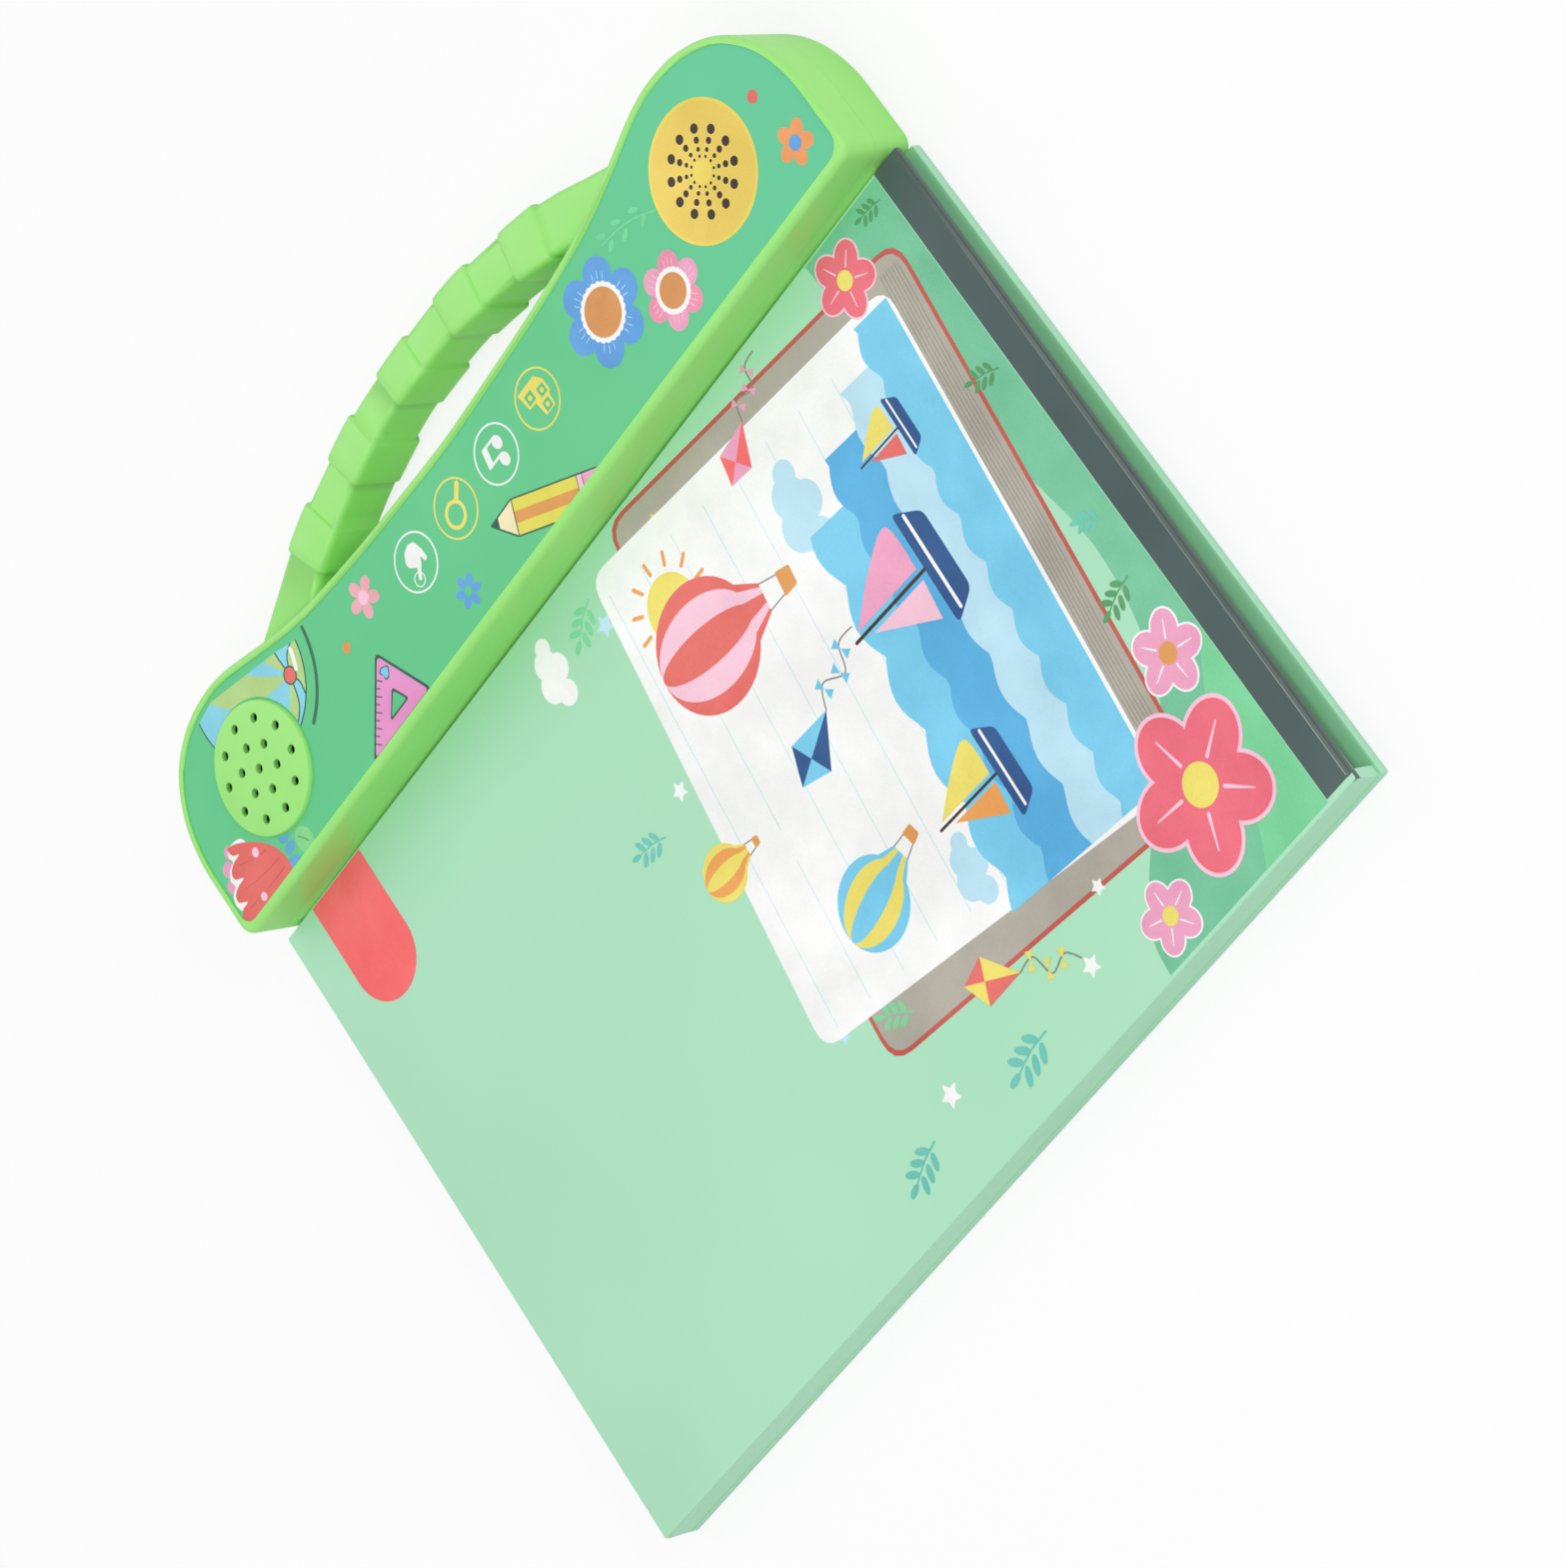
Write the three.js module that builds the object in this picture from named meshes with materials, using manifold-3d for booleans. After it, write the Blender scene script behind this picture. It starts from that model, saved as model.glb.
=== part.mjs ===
// Sound book: a hard-cover book with a plastic sound housing and carrying handle on its fore edge.
// Millimetres, +Z up. The book lies closed on its back cover.
// X runs from the spine to the handle, Y from the tail of the book to its head.
import * as THREE from 'three';
import { mergeVertices } from 'three/addons/utils/BufferGeometryUtils.js';
import Module from 'manifold-3d';

const wasm = await Module();
wasm.setup();

// General
const GAP = 0.3;
const MIDDLE_Y = 116.2;
const TABLE_Z = 0;

// Covers
const SPINE_X = -0.5;
const FORE_X = 160.8;
const BOARD_T = 1.7;
const BACK_T = 2.6;
const SPINE_T = 2.4;
const BACK_LENGTH = 248.4;
const FRONT_LENGTH = BACK_LENGTH - 0.8;
const TOP_AT_SPINE = 10.4;
const TOP_AT_FORE = 7.4;
const BOARD_ROUND = 0.4;
const SLOPE = (TOP_AT_FORE - TOP_AT_SPINE) / (FORE_X - SPINE_X);

// Touch sheet and pages
const SHEET_T = 0.4;
const SHEET_Z = BACK_T + GAP;
const SHEET_X = [SPINE_X + 4.5, FORE_X - 2.3];
const SHEET_LENGTH = BACK_LENGTH - 12.4;
const SHEET_TAB_REACH = 6.7;
const SHEET_TAB_WIDTH = 40;
const PAGES_Z = SHEET_Z + SHEET_T + GAP;
const PAGES_X = [SPINE_X + SPINE_T + GAP, FORE_X - 3.3];
const PAGES_LENGTH = BACK_LENGTH - 7.4;

// Housing, beside the fore edge and a little shorter than the covers
const HOUSING_X = FORE_X + 0.4;
const HOUSING_TOP = 20;
const HOUSING_HALF = BACK_LENGTH / 2 - 1.9;
const TAIL_HALF = HOUSING_HALF + 0.8;
const HEAD_END = MIDDLE_Y + HOUSING_HALF;
const TAIL_END = MIDDLE_Y - TAIL_HALF;
const HOUSING_CORNER = 3.6;
// Rounding of the top rim: how far it reaches in on the straight side and on the handle side, and down
const RIM_IN = [1.8, 1.15];
const RIM_DOWN = 1.9;
const SEAM_Z = 10.5;
const WALL = 2;
const FLOOR = 1.8;
const CEILING = 17.8;
const TONGUE_T = 1;
const TONGUE_H = 2;
const FLANGE_REACH = 14;
const FLANGE_T = 1.2;
const FLANGE_LENGTH = BACK_LENGTH - 22.4;
// Handle-side edge of the housing: width there, and place between the middle (0) and either end (1)
const EDGE = [
  [35.9, 0],
  [36.5, 0.1635],
  [37.4, 0.3107],
  [39, 0.4497],
  [40.9, 0.5397],
  [43.7, 0.6255],
  [46.2, 0.7032],
  [46.9, 0.7686],
  [45.4, 0.8463],
  [40.6, 0.9199],
  [32.1, 0.973],
  [21.8, 0.9975],
  [10.8, 1],
];

// Printed film on the housing
const RECESS_FLOOR = 19.05;
// Inset of the film's recess on the straight side, on the handle side and at the tail end
const RECESS_INSET = [1.9, 2.1, 1.2];
const RECESS_CORNER = 5.5;
const FILM_Z = RECESS_FLOOR + 0.2;
const FILM_T = 0.35;

// Loudspeaker behind the grille disc
const SPEAKER = [HOUSING_X + 23, HEAD_END - 31.2];
const GRILLE_R = 14.95;
const GRILLE_EDGE_Z = 20.7;
const GRILLE_TOP_Z = 21.1;
const GRILLE_HOLE_R = 1.1;
const GRILLE_RINGS = [
  [1, 0],
  [6, 5.7],
  [10, 11],
];
const GRILLE_UNDERSIDE_Z = 19.7;
const SPEAKER_R = 14;

// Four keys under the film
const KEY_X = HOUSING_X + 23.2;
const KEY_NAMES = ['hand_key', 'lens_key', 'music_key', 'blocks_key'];
const KEY_PITCH = 16.85;
const KEY_FIRST_Y = MIDDLE_Y + 24.2;
const KEY_LAST_Y = KEY_FIRST_Y - 3 * KEY_PITCH;
const KEY_R = 5.5;
const KEY_FLANGE_R = 6.9;
const KEY_STEM_R = 2.2;
const KEY_TRAVEL = 0.5;
const KEY_TOP = FILM_Z - 0.2;

// Circuit board
const PCB_X = [HOUSING_X + 5.8, HOUSING_X + 31.8];
const PCB_LENGTH = 2 * HOUSING_HALF - 140.6;
const PCB_MIDDLE_Y = MIDDLE_Y + 1.8;
const PCB_Y = [PCB_MIDDLE_Y - PCB_LENGTH / 2, PCB_MIDDLE_Y + PCB_LENGTH / 2];
const PCB_Z = 8.2;
const PCB_T = 1.6;
const MAT_Z = PCB_Z + PCB_T + GAP;
const MAT_T = 1;
const DOME_TOP = MAT_Z + MAT_T + 3;
const STANDOFFS = [
  [PCB_X[0] + 3, PCB_Y[0] + 3.5],
  [PCB_X[1] - 3, PCB_Y[0] + 3.5],
  [PCB_X[0] + 3, PCB_Y[1] - 3.5],
  [PCB_X[1] - 3, PCB_Y[1] - 3.5],
];
const CHIP = [HOUSING_X + 16.8, PCB_MIDDLE_Y];

// Housing screws
const SCREWS = [
  [HOUSING_X + 6.8, HEAD_END - 8],
  [HOUSING_X + 37.3, HEAD_END - 16.5],
  [HOUSING_X + 6.4, HEAD_END - 54.5],
  [HOUSING_X + 32.3, HEAD_END - 57.5],
  [HOUSING_X + 6.4, TAIL_END + 66.1],
  [HOUSING_X + 31.3, TAIL_END + 63.1],
  [HOUSING_X + 33.3, TAIL_END + 11.6],
];
const SCREW_SHANK_R = 1.2;
const SCREW_HEAD_R = 2.6;
const SCREW_SEAT_Z = 3;
const SCREW_HEAD_T = 1.7;
const SCREW_LENGTH = 11;
const POST_R = 3.3;

// Battery compartment
const CELL_R = 5.2;
const CELL_LENGTH = 44;
const CELL_X = [HOUSING_X + 9.1, HOUSING_X + 20.1];
const CELL_Y = TAIL_END + 10.1;
const CELL_Z = 2.4;
const BAY_X = [HOUSING_X + 3.6, HOUSING_X + 26];
const BAY_Y = [CELL_Y - 3, CELL_Y + CELL_LENGTH + 3];
const BAY_TOP = 13.2;
const BAY_WALL = 1.3;
const CONTACT_T = 0.5;
const DOOR_T = 1.6;
const DOOR_LEDGE = 1.2;
const DOOR_TAB_X = [HOUSING_X + 10.3, HOUSING_X + 19.3];
const DOOR_TAB_END = BAY_Y[1] + 8;
const DOOR_SCREW = [HOUSING_X + 14.8, BAY_Y[1] + 4.2];

// Power switch in the underside
const SWITCH = [HOUSING_X + 18.8, PCB_Y[1] - 10];
const SWITCH_TRAVEL = 3;
const SWITCH_WINDOW = [4.6, 8.6];

// Handle's centre line: distance from the housing's cover side, and place along the housing as above
const HANDLE_HEAD_LINE = [
  [57, 0],
  [55.9, 0.18],
  [50.2, 0.3925],
  [43.85, 0.5215],
  [39.3, 0.606],
  [36.9, 0.655],
];
const HANDLE_TAIL_LINE = [
  [57, 0],
  [55.3, 0.179],
  [49.1, 0.388],
  [42.4, 0.513],
  [37.7, 0.596],
  [35.3, 0.645],
];
const HANDLE_WIDTH = [8.6, 13.6];
// How slowly the handle widens towards its tail end and its head end
const HANDLE_SPREAD = [1.1, 2];
const HANDLE_Z = [1.5, 15.2];
const HANDLE_ROUND = 1.7;
const BAND_COUNT = 5;
const BAND_PITCH = 23;
const BAND_LENGTH = 11.6;
const BAND_SHIFT = 2.4;
const BAND_RISE = 0.65;

const GREEN_PLASTIC = 0x86d95f;
const GREEN_COVER = 0xa9dcbc;

// Shape helpers

function solidOf(geometry) {
  const bare = new THREE.BufferGeometry();
  bare.setAttribute('position', geometry.getAttribute('position').clone());
  if (geometry.index) {
    bare.setIndex(geometry.index.clone());
  }
  const merged = mergeVertices(bare, 1e-4);
  const mesh = new wasm.Mesh({
    numProp: 3,
    vertProperties: new Float32Array(merged.getAttribute('position').array),
    triVerts: new Uint32Array(merged.index.array),
  });
  return new wasm.Manifold(mesh);
}

function geometryOf(solid) {
  const mesh = solid.getMesh();
  const geometry = new THREE.BufferGeometry();
  geometry.setAttribute('position', new THREE.BufferAttribute(mesh.vertProperties, 3));
  geometry.setIndex(new THREE.BufferAttribute(mesh.triVerts, 1));
  return geometry;
}

function block(xs, ys, zs) {
  const box = new THREE.BoxGeometry(xs[1] - xs[0], ys[1] - ys[0], zs[1] - zs[0]);
  box.translate((xs[0] + xs[1]) / 2, (ys[0] + ys[1]) / 2, (zs[0] + zs[1]) / 2);
  return solidOf(box);
}

function disc(centre, radius, zs, segments = 24) {
  const cylinder = new THREE.CylinderGeometry(radius, radius, zs[1] - zs[0], segments);
  cylinder.rotateX(Math.PI / 2);
  cylinder.translate(centre[0], centre[1], (zs[0] + zs[1]) / 2);
  return solidOf(cylinder);
}

// Profile of [radius, z] pairs turned about a vertical axis
function turned(centre, profile, segments = 32) {
  const points = profile.map(([r, z]) => new THREE.Vector2(r, z));
  const lathe = new THREE.LatheGeometry(points, segments);
  lathe.rotateX(Math.PI / 2);
  lathe.translate(centre[0], centre[1], 0);
  return solidOf(lathe);
}

function around(x, half) {
  return [x - half, x + half];
}

function span(length) {
  return around(MIDDLE_Y, length / 2);
}

// Closed outline moved inwards by a distance, or by one on the straight side, one on the handle side
// and one at the tail end
function insetOutline(points, distance) {
  const count = points.length;
  const [near, far = near, tail = far] = [distance].flat();
  return points.map((point, i) => {
    const before = points[(i + count - 1) % count];
    const after = points[(i + 1) % count];
    const a = new THREE.Vector2(before.y - point.y, point.x - before.x).normalize();
    const b = new THREE.Vector2(point.y - after.y, after.x - point.x).normalize();
    const mitre = a.clone().add(b).normalize();
    const reach = new THREE.Vector2(mitre.x > 0 ? near : far, mitre.y > 0 ? tail : far);
    return point.clone().addScaledVector(mitre.clone().multiply(reach), 1 / mitre.dot(a));
  });
}

// Solid with the outline inset by a stated distance at each stated height
function stacked(outline, levels) {
  const rings = levels.map(([inset]) => insetOutline(outline, inset));
  const count = outline.length;
  const positions = [];
  const triangles = [];
  rings.forEach((ring, level) => {
    ring.forEach((p) => positions.push(p.x, p.y, levels[level][1]));
  });
  for (let level = 0; level + 1 < rings.length; level += 1) {
    for (let i = 0; i < count; i += 1) {
      const a = level * count + i;
      const b = level * count + ((i + 1) % count);
      triangles.push(a, b, b + count, a, b + count, a + count);
    }
  }
  const top = (rings.length - 1) * count;
  THREE.ShapeUtils.triangulateShape(rings[0], []).forEach(([a, b, c]) => {
    triangles.push(c, b, a);
  });
  THREE.ShapeUtils.triangulateShape(rings[rings.length - 1], []).forEach(([a, b, c]) => {
    triangles.push(top + a, top + b, top + c);
  });
  const geometry = new THREE.BufferGeometry();
  geometry.setAttribute('position', new THREE.Float32BufferAttribute(positions, 3));
  geometry.setIndex(triangles);
  return solidOf(geometry);
}

function corner(centreX, centreY, radius, startAngle, steps) {
  const points = [];
  for (let i = 0; i <= steps; i += 1) {
    const angle = startAngle + (i / steps) * (Math.PI / 2);
    points.push(new THREE.Vector2(centreX + radius * Math.cos(angle), centreY + radius * Math.sin(angle)));
  }
  return points;
}

function rectangle(xs, ys, radius, steps = 2) {
  return [
    ...corner(xs[1] - radius, ys[0] + radius, radius, -Math.PI / 2, steps),
    ...corner(xs[1] - radius, ys[1] - radius, radius, 0, steps),
    ...corner(xs[0] + radius, ys[1] - radius, radius, Math.PI / 2, steps),
    ...corner(xs[0] + radius, ys[0] + radius, radius, Math.PI, steps),
  ];
}

function board(xs, ys, thickness) {
  const levels = [
    [BOARD_ROUND, 0],
    [BOARD_ROUND * 0.3, BOARD_ROUND * 0.3],
    [0, BOARD_ROUND],
    [0, thickness - BOARD_ROUND],
    [BOARD_ROUND * 0.3, thickness - BOARD_ROUND * 0.3],
    [BOARD_ROUND, thickness],
  ];
  return stacked(rectangle(xs, ys, 0.5), levels);
}

// Raises a solid by a height and gives it the slope of the front cover
function sloped(solid, height) {
  const geometry = geometryOf(solid);
  const position = geometry.getAttribute('position');
  for (let i = 0; i < position.count; i += 1) {
    const rise = height + SLOPE * (position.getX(i) - SPINE_X);
    position.setZ(i, position.getZ(i) + rise);
  }
  return solidOf(geometry);
}

// Slab with a flat underside and a top that follows the front cover's slope
function wedge(xs, ys, bottom, topAtSpine) {
  const topAt = (x) => topAtSpine + SLOPE * (x - SPINE_X);
  const shape = new THREE.Shape([
    new THREE.Vector2(xs[0], bottom),
    new THREE.Vector2(xs[1], bottom),
    new THREE.Vector2(xs[1], topAt(xs[1])),
    new THREE.Vector2(xs[0], topAt(xs[0])),
  ]);
  const slab = new THREE.ExtrudeGeometry(shape, { depth: ys[1] - ys[0], bevelEnabled: false });
  slab.rotateX(Math.PI / 2);
  slab.translate(0, ys[1], 0);
  return solidOf(slab);
}

// Curve from the housing's tail end to its head end, from the points of its two halves
function curveAlong(tailHalf, headHalf) {
  const at = ([width, place], reach) => new THREE.Vector2(HOUSING_X + width, MIDDLE_Y + place * reach);
  const tailSide = [...tailHalf].reverse().map((point) => at(point, -TAIL_HALF));
  const headSide = headHalf.slice(1).map((point) => at(point, HOUSING_HALF));
  return new THREE.SplineCurve([...tailSide, ...headSide]);
}

// Outline of the housing seen from above, counter-clockwise, with round corners beside the covers
function housingOutline(radius) {
  const edge = curveAlong(EDGE, EDGE).getPoints(120);
  return [
    ...edge,
    ...corner(HOUSING_X + radius, HEAD_END - radius, radius, Math.PI / 2, 5),
    ...corner(HOUSING_X + radius, TAIL_END + radius, radius, Math.PI, 5),
  ];
}

const OUTLINE = housingOutline(HOUSING_CORNER);
const RECESS_OUTLINE = housingOutline(RECESS_CORNER);

function housingSlab(inset, zs) {
  return stacked(OUTLINE, [[inset, zs[0]], [inset, zs[1]]]);
}

// Slab that fits the film's recess with a clearance all round
function recessSlab(clearance, zs) {
  const inset = RECESS_INSET.map((side) => side + clearance);
  return stacked(RECESS_OUTLINE, [[inset, zs[0]], [inset, zs[1]]]);
}

function housingRing(outer, inner, zs) {
  return housingSlab(outer, zs).subtract(housingSlab(inner, [zs[0] - 1, zs[1] + 1]));
}

// Handle bar along its centre line, with the bands raised; grow makes it larger all round
function handleBar(grow) {
  const line = curveAlong(HANDLE_TAIL_LINE, HANDLE_HEAD_LINE);
  const length = line.getLength();
  const plain = (from, to) => {
    const steps = Math.ceil((to - from) / 3);
    return Array.from({ length: steps }, (unused, i) => [from + (i * (to - from)) / steps, 0]);
  };
  const bandsCentre = length / 2 + BAND_SHIFT;
  const firstBand = bandsCentre - ((BAND_COUNT - 1) * BAND_PITCH + BAND_LENGTH) / 2;
  const stations = plain(0, firstBand);
  for (let i = 0; i < BAND_COUNT; i += 1) {
    const centre = bandsCentre + (i - (BAND_COUNT - 1) / 2) * BAND_PITCH;
    const start = centre - BAND_LENGTH / 2;
    const end = centre + BAND_LENGTH / 2;
    stations.push([start, 0], [start + 0.15, BAND_RISE * 0.8], [start + 0.5, BAND_RISE]);
    stations.push([start + 3, BAND_RISE], [centre, BAND_RISE * 0.95], [end - 2.6, BAND_RISE * 0.9]);
    stations.push([end - 0.5, BAND_RISE * 0.8], [end - 0.15, BAND_RISE * 0.55]);
    const next = i + 1 < BAND_COUNT ? start + BAND_PITCH : length;
    stations.push(...plain(end, next));
  }
  stations.push([length, 0]);
  const middleZ = (HANDLE_Z[0] + HANDLE_Z[1]) / 2;
  const positions = [];
  const triangles = [];
  let count = 0;
  stations.forEach(([distance, rise]) => {
    const at = distance / length;
    const centre = line.getPointAt(at);
    const along = line.getTangentAt(at);
    const fromMiddle = Math.abs(2 * at - 1);
    const spread = fromMiddle ** HANDLE_SPREAD[at < 0.5 ? 0 : 1];
    const width = HANDLE_WIDTH[0] + (HANDLE_WIDTH[1] - HANDLE_WIDTH[0]) * spread;
    const halfWidth = width / 2 + rise + grow;
    const halfHeight = (HANDLE_Z[1] - HANDLE_Z[0]) / 2 + rise + grow;
    const section = rectangle(around(0, halfWidth), around(0, halfHeight), HANDLE_ROUND + grow, 4);
    count = section.length;
    section.forEach((p) => {
      positions.push(centre.x + along.y * p.x, centre.y - along.x * p.x, middleZ + p.y);
    });
  });
  for (let s = 0; s + 1 < stations.length; s += 1) {
    for (let i = 0; i < count; i += 1) {
      const a = s * count + i;
      const b = s * count + ((i + 1) % count);
      triangles.push(a, b + count, b, a, a + count, b + count);
    }
  }
  const last = (stations.length - 1) * count;
  for (let i = 1; i + 1 < count; i += 1) {
    triangles.push(0, i, i + 1);
    triangles.push(last, last + i + 1, last + i);
  }
  const geometry = new THREE.BufferGeometry();
  geometry.setAttribute('position', new THREE.Float32BufferAttribute(positions, 3));
  geometry.setIndex(triangles);
  return solidOf(geometry);
}

const parts = [];

function addPart(name, solid, color) {
  const mesh = new THREE.Mesh(geometryOf(solid), new THREE.MeshStandardMaterial({ color }));
  mesh.name = name;
  parts.push(mesh);
}

// Front cover, hinged along the spine's outer edge
const frontCover = sloped(board([SPINE_X, FORE_X], span(FRONT_LENGTH), BOARD_T), TOP_AT_SPINE - BOARD_T);
addPart('front_cover', frontCover, GREEN_COVER);

// Back cover and spine, wrapped as one, with a rebate underneath for the housing's flange
const spineWall = wedge(
  [SPINE_X, SPINE_X + SPINE_T],
  span(BACK_LENGTH - 1.2),
  BOARD_ROUND,
  TOP_AT_SPINE - BOARD_T - GAP,
);
const rebate = block(
  [HOUSING_X - FLANGE_REACH - GAP, FORE_X + 1],
  span(FLANGE_LENGTH + 2 * GAP),
  [TABLE_Z - 1, FLANGE_T + GAP],
);
const backCover = board([SPINE_X, FORE_X], span(BACK_LENGTH), BACK_T).add(spineWall).subtract(rebate);
addPart('back_cover_and_spine', backCover, GREEN_COVER);

// Touch sheet on the back cover, with a tab into the housing
const tabY = span(SHEET_TAB_WIDTH);
const sheetZ = [SHEET_Z, SHEET_Z + SHEET_T];
const sheetTab = block([SHEET_X[1] - 1, FORE_X + SHEET_TAB_REACH], tabY, sheetZ);
const touchSheet = block(SHEET_X, span(SHEET_LENGTH), sheetZ).add(sheetTab);
addPart('touch_sheet', touchSheet, 0xd9dcd6);

// Page block
const pagesTop = TOP_AT_SPINE - BOARD_T - GAP;
addPart('page_block', wedge(PAGES_X, span(PAGES_LENGTH), PAGES_Z, pagesTop), 0xf2f0e8);

// Openings shared by both halves of the housing
const handleSocket = handleBar(GAP);

// Top shell
let topShell = stacked(OUTLINE, [
  [0, SEAM_Z + GAP / 2],
  ...[0, 15, 30, 45, 60, 75, 90].map((degrees) => {
    const angle = THREE.MathUtils.degToRad(degrees);
    return [RIM_IN.map((reach) => reach * (1 - Math.cos(angle))), HOUSING_TOP - RIM_DOWN * (1 - Math.sin(angle))];
  }),
]);
topShell = topShell.subtract(recessSlab(0, [RECESS_FLOOR, HOUSING_TOP + 1]));
topShell = topShell.subtract(housingSlab(WALL, [SEAM_Z - 1, CEILING]));
const grille = turned(SPEAKER, [
  [0, RECESS_FLOOR - 0.5],
  [GRILLE_R, RECESS_FLOOR - 0.5],
  [GRILLE_R, GRILLE_EDGE_Z - 0.5],
  [GRILLE_R - 0.25, GRILLE_EDGE_Z - 0.12],
  [GRILLE_R - 0.9, GRILLE_EDGE_Z],
  [GRILLE_R * 0.6, GRILLE_TOP_Z - 0.1],
  [0, GRILLE_TOP_Z],
], 56);
const speakerWall = disc(SPEAKER, SPEAKER_R + 1.5, [14, CEILING + 0.5], 40)
  .subtract(disc(SPEAKER, SPEAKER_R + GAP, [13, CEILING], 40));
topShell = topShell.add(grille).add(speakerWall);
topShell = topShell.subtract(disc(SPEAKER, SPEAKER_R - 1, [CEILING - 1, GRILLE_UNDERSIDE_Z], 40));
GRILLE_RINGS.forEach(([count, radius]) => {
  for (let i = 0; i < count; i += 1) {
    const angle = (2 * Math.PI * i) / count;
    const hole = [SPEAKER[0] + radius * Math.cos(angle), SPEAKER[1] + radius * Math.sin(angle)];
    topShell = topShell.subtract(disc(hole, GRILLE_HOLE_R, [CEILING - 1, GRILLE_TOP_Z + 1], 12));
  }
});
const keyPlaces = KEY_NAMES.map((name, i) => [KEY_X, KEY_FIRST_Y - i * KEY_PITCH]);
keyPlaces.forEach((place) => {
  topShell = topShell.subtract(disc(place, KEY_R + 0.4, [CEILING - 1, HOUSING_TOP + 1], 24));
});
const postTop = CEILING + 0.5;
SCREWS.forEach((place) => {
  topShell = topShell.add(disc(place, POST_R - 0.3, [SEAM_Z + GAP / 2, postTop], 14));
  const hole = disc(place, SCREW_SHANK_R + 0.15, [SEAM_Z - 1, CEILING - 1], 10);
  topShell = topShell.subtract(hole);
});
topShell = topShell.subtract(handleSocket);
addPart('top_shell', topShell, GREEN_PLASTIC);

// Bottom shell
let bottomShell = stacked(OUTLINE, [
  [0.7, TABLE_Z],
  [0.2, TABLE_Z + 0.2],
  [0, TABLE_Z + 0.7],
  [0, SEAM_Z - GAP / 2],
]);
bottomShell = bottomShell.subtract(housingSlab(WALL, [FLOOR, SEAM_Z + 1]));
const tongueFoot = housingRing(WALL - 0.2, WALL + GAP + TONGUE_T, [SEAM_Z - 3, SEAM_Z - GAP / 2]);
const tongue = housingRing(WALL + GAP, WALL + GAP + TONGUE_T, [SEAM_Z - 1, SEAM_Z + TONGUE_H]);
bottomShell = bottomShell.add(tongueFoot).add(tongue);
bottomShell = bottomShell.add(
  block([HOUSING_X - FLANGE_REACH, HOUSING_X + 1], span(FLANGE_LENGTH), [TABLE_Z, FLANGE_T]),
);
SCREWS.forEach((place) => {
  bottomShell = bottomShell.subtract(disc(place, POST_R, [SEAM_Z - GAP, SEAM_Z + TONGUE_H + 1], 14));
  bottomShell = bottomShell.add(disc(place, POST_R, [FLOOR - 0.5, SEAM_Z - GAP / 2], 14));
});
STANDOFFS.forEach((place) => {
  bottomShell = bottomShell.add(disc(place, 2.4, [FLOOR - 0.5, PCB_Z - GAP], 10));
});
const bayBox = block(
  [BAY_X[0] - BAY_WALL, BAY_X[1] + BAY_WALL],
  [BAY_Y[0] - BAY_WALL, BAY_Y[1] + BAY_WALL],
  [TABLE_Z + 0.5, BAY_TOP + BAY_WALL],
);
const bayInside = block(BAY_X, BAY_Y, [TABLE_Z - 1, BAY_TOP]);
const doorOpening = block(
  [BAY_X[0] - DOOR_LEDGE, BAY_X[1] + DOOR_LEDGE],
  [BAY_Y[0] - DOOR_LEDGE, BAY_Y[1] + DOOR_LEDGE],
  [TABLE_Z - 1, DOOR_T + GAP],
);
const tabPad = block(
  [DOOR_TAB_X[0] - 1.5, DOOR_TAB_X[1] + 1.5],
  [BAY_Y[1], DOOR_TAB_END + 1.8],
  [FLOOR - 0.5, 4.6],
);
const tabOpening = block(
  [DOOR_TAB_X[0] - GAP, DOOR_TAB_X[1] + GAP],
  [BAY_Y[1], DOOR_TAB_END + GAP],
  [TABLE_Z - 1, DOOR_T + GAP],
);
const doorPost = disc(DOOR_SCREW, 3, [FLOOR, 9.5], 20);
bottomShell = bottomShell.add(bayBox).add(tabPad).add(doorPost);
bottomShell = bottomShell.subtract(bayInside).subtract(doorOpening).subtract(tabOpening);
bottomShell = bottomShell.subtract(disc(DOOR_SCREW, SCREW_SHANK_R + 0.15, [TABLE_Z, 8.5], 16));
const switchWindow = block(
  around(SWITCH[0], SWITCH_WINDOW[0] / 2),
  around(SWITCH[1], SWITCH_WINDOW[1] / 2),
  [TABLE_Z - 1, FLOOR + 1],
);
const sheetSlot = block(
  [HOUSING_X - 1, HOUSING_X + WALL + 1],
  span(SHEET_TAB_WIDTH + 2 * GAP),
  [SHEET_Z - GAP, SHEET_Z + SHEET_T + GAP],
);
SCREWS.forEach((place) => {
  bottomShell = bottomShell.subtract(disc(place, SCREW_SHANK_R + 0.3, [TABLE_Z - 1, SEAM_Z + 1], 10));
  bottomShell = bottomShell.subtract(disc(place, SCREW_HEAD_R + 0.3, [TABLE_Z - 1, SCREW_SEAT_Z], 14));
});
bottomShell = bottomShell.subtract(switchWindow).subtract(sheetSlot).subtract(handleSocket);
addPart('bottom_shell', bottomShell, GREEN_PLASTIC);

// Handle
addPart('handle', handleBar(0), GREEN_PLASTIC);

// Printed film, cut out round the grille
const filmZ = [FILM_Z, FILM_Z + FILM_T];
const filmHole = disc(SPEAKER, GRILLE_R + GAP, [FILM_Z - 1, HOUSING_TOP + 1], 56);
const film = recessSlab(GAP, filmZ).subtract(filmHole);
addPart('printed_film', film, 0x6fcf97);

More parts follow.
